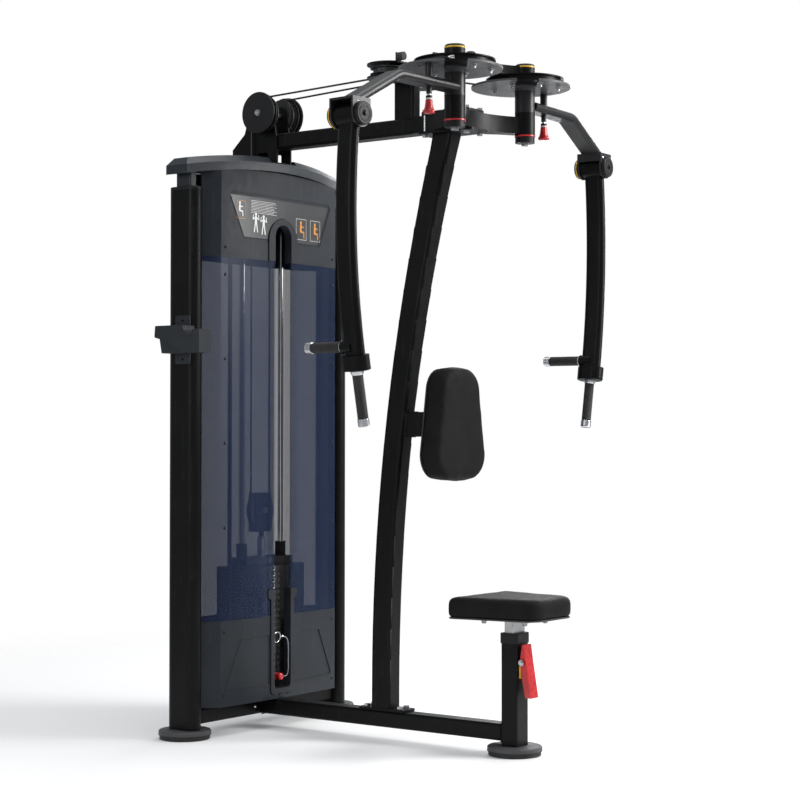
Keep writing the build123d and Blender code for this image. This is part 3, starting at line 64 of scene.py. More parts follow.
TX = centre("tower_columns").x                  # plane of the tower columns
ring_low, ring_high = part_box("pivot_rings")
PIVOT_X = (ring_low.x + ring_high.x) / 2
PIVOT_R = (ring_high.x - ring_low.x) / 2
PIVOT_Y = ring_high.y - PIVOT_R
RING_BOTTOM, RING_TOP, RING_T = ring_low.z, ring_high.z, 0.005
SEAT_X = TX + 0.968                             # middle of the seat post
SKEW = math.radians(3.4)                        # the arms point back this far from square
SIDES = {"left": 1, "right": -1}
ELBOW_REACH, ELBOW_Z = 0.455, centre("elbow_caps_right").z


def arm_point(side, reach, back, up):
    """Point in the frame of an arm: out along it, to the rear of it, and its height."""
    s = SIDES[side]
    x = PIVOT_X - math.sin(SKEW) * reach - math.cos(SKEW) * back
    y = s * (PIVOT_Y + math.cos(SKEW) * reach - math.sin(SKEW) * back)
    return Vector((x, y, up))


def arm_vector(side, reach, back, up):
    return arm_point(side, reach, back, up) - arm_point(side, 0, 0, 0)


# ---- materials
def set_inputs(node, **values):
    """Set a node's inputs by name, an underscore standing for a space."""
    for name, value in values.items():
        node.inputs[name.replace("_", " ")].default_value = value


def add_node(tree, kind, **values):
    """New shader node with some of its inputs set."""
    node = tree.nodes.new("ShaderNode" + kind)
    set_inputs(node, **values)
    return node


def ramp_node(tree, stops):
    ramp = add_node(tree, "ValToRGB")
    while len(ramp.color_ramp.elements) < len(stops):
        ramp.color_ramp.elements.new(0.5)
    for element, (place, colour) in zip(ramp.color_ramp.elements, stops):
        element.position = place
        element.color = (*colour, 1)
    return ramp


def noise_node(tree, coords, scale, detail=4, stretch=(1, 1, 1)):
    mapping = add_node(tree, "Mapping", Scale=stretch)
    tree.links.new(coords.outputs["Object"], mapping.inputs["Vector"])
    noise = add_node(tree, "TexNoise", Scale=scale, Detail=detail)
    tree.links.new(mapping.outputs["Vector"], noise.inputs["Vector"])
    return noise


def bump_node(tree, height, distance, strength, below=None):
    bump = add_node(tree, "Bump", Strength=strength, Distance=distance)
    tree.links.new(height, bump.inputs["Height"])
    if below:
        tree.links.new(below.outputs["Normal"], bump.inputs["Normal"])
    return bump


def surface(name, dark, light, rough=(0.3, 0.5), metal=0.0, grain=900, depth=0.0002, strength=0.3,
            patches=9, stretch=(1, 1, 1), cells=0, scuffs=0.0, scuff_colour=(0.25, 0.25, 0.25),
            coat=0.0, alpha=1.0, specular=0.5, ripple=0):
    """Node material: mottled colour, uneven roughness, fine grain and, where asked, pebbles and scuffs."""
    mat = bpy.data.materials.new(name)
    mat.use_nodes = True
    tree = mat.node_tree
    links = tree.links
    shader = tree.nodes["Principled BSDF"]
    coords = add_node(tree, "TexCoord")
    patch = noise_node(tree, coords, patches, 6)
    middle = tuple((a + b) / 2 for a, b in zip(dark, light))
    ramp = ramp_node(tree, [(0.30, dark), (0.52, middle), (0.72, light)])
    links.new(patch.outputs["Fac"], ramp.inputs["Fac"])
    colour = ramp.outputs["Color"]
    fine = noise_node(tree, coords, grain, 3, stretch)
    if scuffs:
        marks = noise_node(tree, coords, 60, 8, (1, 1, 0.12))
        picked = ramp_node(tree, [(0.60, (0, 0, 0)), (0.66, (scuffs,) * 3), (0.70, (0, 0, 0))])
        links.new(marks.outputs["Fac"], picked.inputs["Fac"])
        mix = add_node(tree, "MixRGB", Color2=(*scuff_colour, 1))
        links.new(picked.outputs["Color"], mix.inputs["Fac"])
        links.new(colour, mix.inputs["Color1"])
        colour = mix.outputs["Color"]
    links.new(colour, shader.inputs["Base Color"])
    uneven = noise_node(tree, coords, patches * 4, 5)
    spread = add_node(tree, "MapRange", From_Min=0.3, From_Max=0.7, To_Min=rough[0], To_Max=rough[1])
    links.new(uneven.outputs["Fac"], spread.inputs["Value"])
    links.new(spread.outputs["Result"], shader.inputs["Roughness"])
    bump = bump_node(tree, fine.outputs["Fac"], depth, strength)
    if cells:
        pebbles = add_node(tree, "TexVoronoi", Scale=cells)
        links.new(coords.outputs["Object"], pebbles.inputs["Vector"])
        bump = bump_node(tree, pebbles.outputs["Distance"], depth * 1.5, 0.5, bump)
    if ripple:
        waves = noise_node(tree, coords, ripple, 2)
        bump = bump_node(tree, waves.outputs["Fac"], 0.002, 0.12, bump)
    links.new(bump.outputs["Normal"], shader.inputs["Normal"])
    set_inputs(shader, Metallic=metal, Coat_Weight=coat, Coat_Roughness=0.15, Specular_IOR_Level=specular,
               Alpha=alpha)
    mat.diffuse_color = (*middle, 1)
    return mat


COAT = {"grain": 1100, "depth": 0.00005, "strength": 0.25, "cells": 1500}
SKIN = {"grain": 1500, "depth": 0.00018, "cells": 850}
MOULDED = {"grain": 1500, "depth": 0.0002, "strength": 0.5, "cells": 900, "specular": 0.25}
TINTED = {"grain": 1300, "strength": 0.3, "patches": 22}
BLACK_COAT = surface("powder_coat_black", (0.0030, 0.0030, 0.0032), (0.0048, 0.0048, 0.0051), (0.32, 0.42),
                     scuffs=0.02, specular=0.14, **COAT)
ARM_COAT = surface("powder_coat_arm", (0.0034, 0.0034, 0.0036), (0.0055, 0.0055, 0.0059), (0.28, 0.36),
                   scuffs=0.02, specular=0.12, **COAT)
SHOULDER_COAT = surface("powder_coat_shoulder", (0.013, 0.013, 0.014), (0.020, 0.020, 0.021), (0.30, 0.38),
                        scuffs=0.02, specular=0.3, **COAT)
DISC_COAT = surface("powder_coat_disc", (0.075, 0.076, 0.078), (0.098, 0.099, 0.102), (0.38, 0.5),
                    scuffs=0.05, specular=0.3, **COAT)
SHROUD = surface("shroud_slate_plastic", (0.0150, 0.0180, 0.0225), (0.0215, 0.0255, 0.0320), (0.36, 0.5),
                 strength=0.55, scuffs=0.04, specular=0.22, **SKIN)
CAP = surface("cap_slate_plastic", (0.011, 0.015, 0.020), (0.016, 0.021, 0.028), (0.28, 0.4),
              strength=0.5, scuffs=0.03, specular=0.4, **SKIN)
PANEL = surface("panel_dark_print", (0.020, 0.021, 0.023), (0.034, 0.034, 0.036), (0.3, 0.42), grain=1800,
                depth=0.0001, strength=0.3, coat=0.2)
SMOKE_DARK, SMOKE_LIGHT = (0.013, 0.024, 0.060), (0.018, 0.030, 0.072)
SMOKE_ALPHA, SMOKE_FRAME_ALPHA = 0.52, 0.12
WINDOW = surface("window_smoked_acrylic", SMOKE_DARK, SMOKE_LIGHT, (0.24, 0.32), grain=6, depth=0.0001,
                 strength=0.01, patches=2, alpha=SMOKE_ALPHA, specular=0.18)
BLACK_PLASTIC = surface("moulded_black_plastic", (0.006, 0.006, 0.0065), (0.011, 0.011, 0.012), (0.38, 0.55),
                        **MOULDED)
GREY_PLASTIC = surface("moulded_grey_plastic", (0.017, 0.020, 0.023), (0.026, 0.030, 0.034), (0.4, 0.55),
                       **MOULDED)
RED = surface("moulded_red_plastic", (0.40, 0.008, 0.010), (0.62, 0.014, 0.016), (0.22, 0.34),
              depth=0.00012, coat=0.25, **TINTED)
YELLOW = surface("moulded_yellow_plastic", (0.62, 0.36, 0.015), (0.80, 0.50, 0.03), (0.28, 0.4),
                 depth=0.00012, **TINTED)
WHITE = surface("moulded_white_plastic", (0.62, 0.62, 0.60), (0.8, 0.8, 0.78), (0.3, 0.42),
                depth=0.0001, **TINTED)
NUMERAL = surface("numeral_grey_paint", (0.10, 0.10, 0.10), (0.17, 0.17, 0.17), (0.45, 0.6),
                  depth=0.0001, **TINTED)
ORANGE = surface("print_orange", (0.55, 0.20, 0.02), (0.75, 0.32, 0.04), (0.4, 0.5), grain=2200,
                 depth=0.00005, strength=0.2, patches=60)
NYLON = surface("pulley_nylon", (0.010, 0.010, 0.011), (0.022, 0.022, 0.023), (0.42, 0.6), grain=900,
                depth=0.0002, strength=0.4, scuffs=0.25)
RUBBER = surface("rubber_black", (0.010, 0.010, 0.010), (0.024, 0.024, 0.024), (0.62, 0.8), grain=700,
                 depth=0.0004, strength=0.6, cells=520)
FOOT = surface("foot_grey_rubber", (0.040, 0.040, 0.042), (0.062, 0.062, 0.064), (0.5, 0.66), grain=700,
               depth=0.0003, strength=0.5, cells=600)
GRIP = surface("grip_rubber", (0.007, 0.007, 0.007), (0.018, 0.018, 0.018), (0.58, 0.75), grain=900,
               depth=0.0003, strength=0.6, cells=800)
CHROME = surface("chrome_plate", (0.46, 0.47, 0.48), (0.66, 0.67, 0.68), (0.08, 0.18), 1.0, grain=1200,
                 depth=0.00003, strength=0.2, patches=30)
ROD = surface("chromed_rod", (0.62, 0.63, 0.65), (0.85, 0.86, 0.88), (0.05, 0.14), 1.0, grain=900,
              depth=0.00003, strength=0.2, patches=14, stretch=(1, 1, 0.05))
STEEL = surface("brushed_steel_post", (0.42, 0.42, 0.42), (0.62, 0.62, 0.61), (0.26, 0.4), 1.0, grain=900,
                depth=0.00008, strength=0.4, patches=12, stretch=(1, 1, 0.04), scuffs=0.3,
                scuff_colour=(0.2, 0.2, 0.2))
ZINC = surface("zinc_bolt", (0.34, 0.34, 0.35), (0.6, 0.6, 0.6), (0.2, 0.36), 1.0, grain=1400,
               depth=0.0001, strength=0.35, patches=70)
IRON = surface("painted_plate_iron", (0.008, 0.008, 0.009), (0.020, 0.020, 0.021), (0.34, 0.5), grain=500,
               depth=0.0004, strength=0.5, cells=420, scuffs=0.3)
CABLE = surface("cable_nylon_jacket", (0.006, 0.006, 0.006), (0.014, 0.014, 0.014), (0.25, 0.38), grain=1600,
                depth=0.0001, strength=0.4, coat=0.3)
VINYL = surface("upholstery_black_vinyl", (0.0075, 0.0075, 0.0078), (0.0115, 0.0115, 0.012), (0.56, 0.68),
                grain=1400, depth=0.00016, strength=0.45, cells=700, ripple=12, patches=16, specular=0.08)
THREAD = surface("seam_thread", (0.012, 0.012, 0.012), (0.03, 0.03, 0.03), (0.6, 0.8), grain=2400,
                 depth=0.0002, strength=0.8)
BOARD = surface("base_board_lacquer", (0.012, 0.011, 0.010), (0.030, 0.027, 0.024), (0.45, 0.6), grain=260,
                depth=0.0003, strength=0.4, stretch=(1, 0.1, 1), patches=20)
LANYARD = surface("lanyard_clear_jacket", (0.20, 0.21, 0.23), (0.34, 0.36, 0.38), (0.18, 0.3), 0.4,
                  grain=1800, depth=0.0001, strength=0.4, coat=0.5)


def smoked_between(mat, low, high):
    """Turn a plastic into the window's smoked acrylic between two heights."""
    tree = mat.node_tree
    nodes, links = tree.nodes, tree.links
    shader = nodes["Principled BSDF"]
    place = add_node(tree, "SeparateXYZ")
    links.new(nodes["Texture Coordinate"].outputs["Object"], place.inputs[0])
    inside = add_node(tree, "Math")
    inside.operation = "COMPARE"
    inside.inputs[1].default_value = (low + high) / 2
    inside.inputs[2].default_value = (high - low) / 2
    links.new(place.outputs["Z"], inside.inputs[0])
    mix = add_node(tree, "MixRGB", Color2=(*SMOKE_DARK, 1))
    links.new(inside.outputs[0], mix.inputs["Fac"])
    links.new(shader.inputs["Base Color"].links[0].from_socket, mix.inputs["Color1"])
    links.new(mix.outputs["Color"], shader.inputs["Base Color"])
    clear = add_node(tree, "MapRange", To_Min=1.0, To_Max=SMOKE_FRAME_ALPHA)
    links.new(inside.outputs[0], clear.inputs["Value"])
    links.new(clear.outputs["Result"], shader.inputs["Alpha"])
    return mat


SLOT_LOOK = smoked_between(
    surface("slot_frame_plastic", (0.0165, 0.0185, 0.0225), (0.0240, 0.0270, 0.0325), (0.36, 0.5),
            strength=0.4, scuffs=0.04, specular=0.2, **SKIN),
    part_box("shroud_window")[0].z + 0.083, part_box("shroud_window")[1].z)


def both(*stems):
    """Left and right names from their stems."""
    return tuple(f"{stem}_{side}" for stem in stems for side in SIDES)


NODE_LOOKS = {
    BLACK_COAT: ("base_frame", "tower_columns", "tower_crossbar", "pulley_bracket", "top_beam",
                 "main_column", "yoke_lower", "yoke_upper", "pivot_housings", "pad_bracket", "seat_post",
                 "floating_bracket"),
    ARM_COAT: both("lower_arm"),
    SHOULDER_COAT: both("upper_arm"),
    DISC_COAT: both("cam"),
    SHROUD: ("shroud_lower", "shroud_upper"),
    SLOT_LOOK: ("slot_frame",),
    CAP: ("tower_cap",),
    WINDOW: ("shroud_window",),
    BLACK_PLASTIC: ("end_caps", "pulley_covers", *both("elbow_caps"), "guide_bushings", "seat_collar"),
    GREY_PLASTIC: ("accessory_holder",),
    FOOT: ("foot_plates",),
    RUBBER: ("foot_pads", "rubber_bumpers"),
    RED: ("seat_lever", "selector_pin"),
    NYLON: (*both("tower_pulley", "deflector_pulley"), "floating_pulley"),
    ROD: ("guide_rods",),
    STEEL: ("seat_stem", "selector_stem", "axles"),
    ZINC: ("frame_bolts",),
    IRON: ("weight_plates", "head_plate"),
    CABLE: ("cables", "cable_loop"),
    CHROME: both("handle_ends"),
    GRIP: both("handle_grips"),
}
for look, names in NODE_LOOKS.items():
    for node_name in names:
        slots = NODES[node_name].material_slots
        for index in range(max(1, len(slots))):
            if slots:
                slots[index].material = look
            else:
                NODES[node_name].data.materials.append(look)


# ---- mesh helpers
def add_object(name, data):
    """New object in the scene."""
    thing = bpy.data.objects.new(name, data)
    bpy.context.scene.collection.objects.link(thing)
    return thing


def mesh_piece(name, bm, look, body, smooth=True):
    """Object from a bmesh whose vertices are already in the shared frame."""
    bmesh.ops.recalc_face_normals(bm, faces=bm.faces)
    mesh = bpy.data.meshes.new(name)
    bm.to_mesh(mesh)
    bm.free()
    for polygon in mesh.polygons:
        polygon.use_smooth = smooth
    piece = add_object(name, mesh)
    piece.data.materials.append(look)
    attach(piece, body)
    return piece


def bridge(bm, loops):
    """Faces between neighbouring closed loops of vertices, and one over each end."""
    for a, b in zip(loops, loops[1:]):
        for k in range(len(a)):
            n = (k + 1) % len(a)
            bm.faces.new((a[k], a[n], b[n], b[k]))
    bm.faces.new(loops[0])
    bm.faces.new(list(reversed(loops[-1])))


def sharp_by_angle(piece, degrees=35):
    """Smooth shading that breaks at edges steeper than the angle."""
    piece.data.set_sharp_from_angle(angle=math.radians(degrees))


def frame_of(axis):
    """Two directions square to an axis."""
    axis = Vector(axis).normalized()
    side = axis.cross(Vector((0, 0, 1)) if abs(axis.z) < 0.9 else Vector((1, 0, 0))).normalized()
    return axis, side, axis.cross(side)


def lathe(bm, profile, origin, axis, segments=48, wobble=None):
    """Turned shape from (radius, distance along the axis) pairs; wobble(angle, along) adds to the radius."""
    axis, u, v = frame_of(axis)
    origin = Vector(origin)
    rings = []
    for radius, along in profile:
        base = origin + axis * along
        if radius < 1e-6:
            rings.append([bm.verts.new(base)])
            continue
        ring = []
        for k in range(segments):
            angle = 2 * math.pi * k / segments
            r = radius + (wobble(angle, along) if wobble else 0)
            ring.append(bm.verts.new(base + (u * math.cos(angle) + v * math.sin(angle)) * r))
        rings.append(ring)
    for a, b in zip(rings, rings[1:]):
        for k in range(segments):
            n = (k + 1) % segments
            if len(a) == 1 and len(b) == 1:
                break
            if len(a) == 1:
                bm.faces.new((a[0], b[n], b[k]))
            elif len(b) == 1:
                bm.faces.new((a[k], a[n], b[0]))
            else:
                bm.faces.new((a[k], a[n], b[n], b[k]))


def turned(name, profile, origin, axis, look, body, segments=48, wobble=None, angle=35):
    """One piece turned on an axis."""
    bm = bmesh.new()
    lathe(bm, profile, origin, axis, segments, wobble)
    piece = mesh_piece(name, bm, look, body)
    sharp_by_angle(piece, angle)
    return piece


WASHER_T = 0.0016


def hex_bolt(bm, origin, axis, across=0.009, height=0.006, washer=0.012):
    """Washer and chamfered hexagon head, from the surface outwards."""
    if washer:
        lathe(bm, [(0, 0), (washer, 0), (washer, 0.0012), (washer - 0.0005, WASHER_T), (0, WASHER_T)],
              origin, axis, 32)
    base = WASHER_T if washer else 0
    lathe(bm, [(0, base), (across, base), (across, base + height * 0.8), (across * 0.86, base + height),
               (0, base + height)], origin, axis, 6)


def button_bolt(bm, origin, axis, radius=0.008, height=0.004):
    """Domed head with a hexagon socket."""
    dome = [(0, 0), (radius, 0)]
    for k in range(1, 6):
        turn = math.pi / 2 * k / 6
        dome.append((radius * math.cos(turn) ** 0.8, height * math.sin(turn)))
    dome += [(radius * 0.42, height), (radius * 0.38, height * 0.35), (0, height * 0.3)]
    lathe(bm, dome, origin, axis, 30)


def ring_profile(inner, outer, low, high, round_by):
    """Closed section of a ring with rounded outer corners."""
    turns = [math.pi / 2 * k / 5 for k in range(1, 5)]
    middle = outer - round_by
    section = [(inner, low), (middle, low)]
    section += [(middle + round_by * math.sin(t), low + round_by - round_by * math.cos(t)) for t in turns]
    section += [(outer, low + round_by), (outer, high - round_by)]
    section += [(middle + round_by * math.cos(t), high - round_by + round_by * math.sin(t)) for t in turns]
    section += [(middle, high), (inner, high), (inner, low)]
    return section


def tube_mesh(name, points, radius, look, body, closed=False, sides=14):
    """Round bar that follows a list of points."""
    curve = bpy.data.curves.new(name + "_line", "CURVE")
    curve.dimensions = "3D"
    curve.bevel_depth = radius
    curve.bevel_resolution = max(1, sides // 4)
    curve.use_fill_caps = not closed
    spline = curve.splines.new("POLY")
    spline.points.add(len(points) - 1)
    for target, point in zip(spline.points, points):
        target.co = (*point, 1)
    spline.use_cyclic_u = closed
    holder = add_object(name + "_line", curve)
    bpy.context.view_layer.update()
    mesh = bpy.data.meshes.new_from_object(holder.evaluated_get(bpy.context.evaluated_depsgraph_get()))
    bpy.data.objects.remove(holder)
    mesh.name = name
    piece = add_object(name, mesh)
    for polygon in mesh.polygons:
        polygon.use_smooth = True
    mesh.materials.clear()
    mesh.materials.append(look)
    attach(piece, body)
    return piece


def rounded_block(name, low, high, round_by, look, body):
    """Box between two corners with rounded edges."""
    bm = bmesh.new()
    bmesh.ops.create_cube(bm, size=1)
    low, high = Vector(low), Vector(high)
    for vert in bm.verts:
        vert.co = Vector([(a + b) / 2 + c * (b - a) for a, b, c in zip(low, high, vert.co)])
    bmesh.ops.bevel(bm, geom=bm.edges[:], offset=round_by, segments=3, profile=0.5, affect="EDGES")
    piece = mesh_piece(name, bm, look, body)
    sharp_by_angle(piece, 40)
    return piece


def rounded_outline(corners, radii, steps=8):
    """Closed outline with an arc at each corner."""
    outline = []
    count = len(corners)
    for k, (corner, radius) in enumerate(zip(corners, radii)):
        corner = Vector(corner)
        to_last = (Vector(corners[k - 1]) - corner).normalized()
        to_next = (Vector(corners[(k + 1) % count]) - corner).normalized()
        half = to_last.angle(to_next) / 2
        start = corner + to_last * (radius / math.tan(half))
        end = corner + to_next * (radius / math.tan(half))
        middle = corner + (to_last + to_next).normalized() * (radius / math.sin(half))
        a, b = start - middle, end - middle
        for i in range(steps + 1):
            outline.append(middle + a.lerp(b, i / steps).normalized() * radius)
    return outline


def even_outline(outline, count):
    """The same closed outline with evenly spaced points."""
    closed = outline + [outline[0]]
    runs = [(b - a).length for a, b in zip(closed, closed[1:])]
    total = sum(runs)
    points, travelled, k = [], 0.0, 0
    for i in range(count):
        target = total * i / count
        while travelled + runs[k] < target:
            travelled += runs[k]
            k += 1
        points.append(closed[k].lerp(closed[k + 1], (target - travelled) / max(runs[k], 1e-9)))
    return points


def inset_outline(outline, amount):
    """Outline moved inwards by an amount."""
    moved = []
    count = len(outline)
    area = sum(outline[k - 1].x * outline[k].y - outline[k].x * outline[k - 1].y for k in range(count))
    turn = 1 if area > 0 else -1
    for k in range(count):
        along = (outline[(k + 1) % count] - outline[k - 1]).normalized()
        moved.append(outline[k] + Vector((-along.y, along.x)) * amount * turn)
    return moved


# ---- cushions
SWELL = 0.0022                                  # furthest that pressure may move a point
BOARD_T = 0.005


def puffed(name, rings, flat_axis, flat_value):
    """Closed cushion from stacked outlines, filled out by a cloth simulation with pressure.

    It stays flat on the side that rests on its board.
    """
    bm = bmesh.new()
    bridge(bm, [[bm.verts.new(point) for point in ring] for ring in rings])
    bmesh.ops.recalc_face_normals(bm, faces=bm.faces)
    mesh = bpy.data.meshes.new(name)
    bm.to_mesh(mesh)
    bm.free()
    piece = add_object(name, mesh)
    remesh = piece.modifiers.new("voxels", "REMESH")
    remesh.mode = "VOXEL"
    remesh.voxel_size = 0.0048
    smooth = piece.modifiers.new("soften", "SMOOTH")
    smooth.factor = 0.5
    smooth.iterations = 4
    bpy.context.view_layer.update()
    dense = bpy.data.meshes.new_from_object(piece.evaluated_get(bpy.context.evaluated_depsgraph_get()))
    piece.modifiers.clear()
    piece.data = dense
    start = [vert.co.copy() for vert in dense.vertices]
    cloth = piece.modifiers.new("pressure", "CLOTH")
    cloth.settings.use_pressure = True
    cloth.settings.uniform_pressure_force = 4
    cloth.settings.effector_weights.gravity = 0
    cloth.settings.quality = 5
    cloth.settings.tension_stiffness = 60
    cloth.settings.compression_stiffness = 60
    for step in range(1, 21):
        bpy.context.scene.frame_set(step)
    bpy.context.view_layer.update()
    swollen = piece.evaluated_get(bpy.context.evaluated_depsgraph_get()).data
    ends = [vert.co.copy() for vert in swollen.vertices]
    piece.modifiers.clear()
    bpy.context.scene.frame_set(1)
    for vert, a, b in zip(dense.vertices, start, ends):
        move = b - a
        if move.length > SWELL:
            move = move.normalized() * SWELL
        vert.co = a + move
    eased = bmesh.new()
    eased.from_mesh(dense)
    for _ in range(5):
        bmesh.ops.smooth_vert(eased, verts=eased.verts, factor=0.5, use_axis_x=True, use_axis_y=True,
                              use_axis_z=True)
    eased.to_mesh(dense)
    eased.free()
    for vert in dense.vertices:
        vert.co[flat_axis] = max(vert.co[flat_axis], flat_value)
    for polygon in dense.polygons:
        polygon.use_smooth = True
    subdivide = piece.modifiers.new("fine", "SUBSURF")
    subdivide.levels = 1
    subdivide.render_levels = 1
    dense.materials.clear()
    dense.materials.append(VINYL)
    dense.name = name
    return piece


def seam(name, piece, loop, body):
    """Welted seam laid on a cushion's surface along a loop; gives the points it went through."""
    bpy.context.view_layer.update()
    evaluated = piece.evaluated_get(bpy.context.evaluated_depsgraph_get())
    tree = BVHTree.FromObject(evaluated, bpy.context.evaluated_depsgraph_get())
    placed = []
    for point in loop:
        hit, normal, _, _ = tree.find_nearest(point)
        placed.append(hit - normal * 0.0004)
    tube_mesh(name, placed, 0.0010, VINYL, body, closed=True, sides=8)
    return placed


def stitches(name, placed, body, offset, gap=0.006, length=0.004, radius=0.00045):
    """Row of short thread stitches beside a seam."""
    bm = bmesh.new()
    count = len(placed)
    for k in range(count):
        a, b = placed[k], placed[(k + 1) % count]
        run = b - a
        pieces = max(1, int(run.length / gap))
        for i in range(pieces):
            middle = a + run * ((i + 0.5) / pieces) + offset
            axis = run.normalized()
            lathe(bm, [(0, -length / 2), (radius, -length / 3), (radius, length / 3), (0, length / 2)],
                  middle, axis, 6)
    return mesh_piece(name, bm, THREAD, body)


def board(name, outline, place, low, high, body):
    """Rounded base board between two depths."""
    bm = bmesh.new()
    edge = 0.0012
    layers = [(low, edge), (low + edge, 0), (high - edge, 0), (high, edge)]
    bridge(bm, [[bm.verts.new(place(p, depth)) for p in inset_outline(outline, shrink)]
                for depth, shrink in layers])
    piece = mesh_piece(name, bm, BOARD, body)
    sharp_by_angle(piece, 30)


def upholster(part, name, node, body, axis, base, outline, place, layers, seams):
    """Cushion on its board, with a stitched seam and a plain one.

    place(point, depth) puts a point of the outline in the frame; the layers and seams are given
    by their depth above the board and how far they are inside the outline.
    """
    start = base + BOARD_T

    def loop_at(depth, shrink):
        return [place(p, start + depth) for p in inset_outline(outline, shrink)]

    piece = puffed(name, [loop_at(depth, shrink) for depth, shrink in layers], axis, start)
    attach(piece, body)
    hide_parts(node)
    for tag, depth, shrink in seams:
        placed = seam(f"{part}_seam_{tag}", piece, loop_at(depth, shrink), body)
        if tag == seams[0][0]:
            stitches(f"{part}_stitches", placed, body, place(Vector((0, 0)), -0.0038))
    board(f"{part}_board", inset_outline(outline, 0.005), place, base, start, body)


# Back pad: its outline is in a plane across the machine, and its thickness runs forwards.
pad_corners = [(0, 0.789), (0.143, 0.797), (0.091, 1.129), (-0.091, 1.129), (-0.143, 0.797)]
pad_outline = even_outline(rounded_outline(pad_corners, [0.400, 0.075, 0.072, 0.072, 0.075]), 120)
upholster("back", "back_cushion", "back_pad", "frame", 0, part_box("back_pad")[0].x, pad_outline,
          lambda p, d: Vector((d, p.x, p.y)),
          [(0.0, 0.004), (0.006, 0.0005), (0.032, 0.0), (0.050, 0.001), (0.059, 0.006), (0.064, 0.015)],
          (("front", 0.054, 0.002), ("rear", 0.008, 0.001)))

# Seat cushion: its outline lies flat, and its thickness runs up.
seat_low, seat_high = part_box("seat_cushion")
seat_corners = [(seat_low.x, -0.157), (seat_high.x, -0.112), (seat_high.x, 0.112), (seat_low.x, 0.157)]
seat_outline = even_outline(rounded_outline(seat_corners, [0.018, 0.055, 0.055, 0.018]), 132)
upholster("seat", "seat_pad", "seat_cushion", "seat", 2, seat_low.z, seat_outline,
          lambda p, d: Vector((p.x, p.y, d)),
          [(0.0, 0.004), (0.006, 0.0005), (0.028, 0.0), (0.044, 0.001), (0.052, 0.006), (0.056, 0.015)],
          (("top", 0.047, 0.002), ("bottom", 0.008, 0.001)))

# ---- pivots
SHAFT_GAP_R = 0.0128
SEAL_HEIGHTS = (1.8992, 1.9642, 2.0032)
for side, s in SIDES.items():
    spot = (PIVOT_X, s * PIVOT_Y, 0)
    for tag, low, look, slot in (("lower", RING_BOTTOM, RED, "red_plastic"),
                                 ("upper", RING_TOP - RING_T, YELLOW, "yellow_plastic")):
        ring = turned(f"pivot_ring_{tag}_{side}",
                      ring_profile(SHAFT_GAP_R, PIVOT_R + 0.0008, low, low + RING_T, 0.0012),
                      spot, UP, look, "frame", 64)
        if side == "left" and tag == "lower":
            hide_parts("pivot_rings")
    for index, seal_z in enumerate(SEAL_HEIGHTS):
        turned(f"pivot_seal_{index}_{side}",
               ring_profile(PIVOT_R - 0.004, PIVOT_R + 0.0006, seal_z - 0.0006, seal_z - 0.0001, 0.0002),
               spot, UP, RUBBER, "frame", 64)

# ---- cams: wound cable, its clamp and the studs
GROOVE_CABLE_R, CAM_CABLE_Z, STUD_Z = 0.1117, 1.990, 1.975
TANGENT = math.atan2(-75.2, -83)                # where the straight cable meets the right cam
WRAP_START, WRAP = -87, 160                     # the wound cable's start from there and length, degrees
STUDS = ((0.112, 28), (0.112, -20), (0.105, 165), (0.060, 95))
for side, s in SIDES.items():
    body = f"cam_{side}"
    arc = []
    for k in range(57):
        angle = TANGENT + math.radians(WRAP_START + WRAP * k / 56)
        arc.append(Vector((PIVOT_X + GROOVE_CABLE_R * math.cos(angle),
                           -s * (-PIVOT_Y + GROOVE_CABLE_R * math.sin(angle)), CAM_CABLE_Z)))
    tube_mesh(f"cam_cable_{side}", arc, 0.003, CABLE, body)
    turned(f"cam_cable_end_{side}",
           [(0, 0), (0.0045, 0), (0.0052, 0.001), (0.0052, 0.017), (0.0045, 0.018), (0, 0.018)],
           arc[-1], arc[-1] - arc[-2], ZINC, body, 24)
    bm = bmesh.new()
    for reach, turn in STUDS:
        angle = math.radians(turn)
        spot = Vector((PIVOT_X + reach * math.cos(angle) * 0.9, s * (PIVOT_Y - reach * math.sin(angle)),
                       STUD_Z))
        hex_bolt(bm, spot, DOWN, 0.0065, 0.006, 0.010)
        lathe(bm, [(0, 0.006), (0.0035, 0.006), (0.0035, 0.012), (0.0028, 0.013), (0, 0.013)],
              spot, DOWN, 16)
    mesh_piece(f"cam_studs_{side}", bm, ZINC, body, smooth=False)

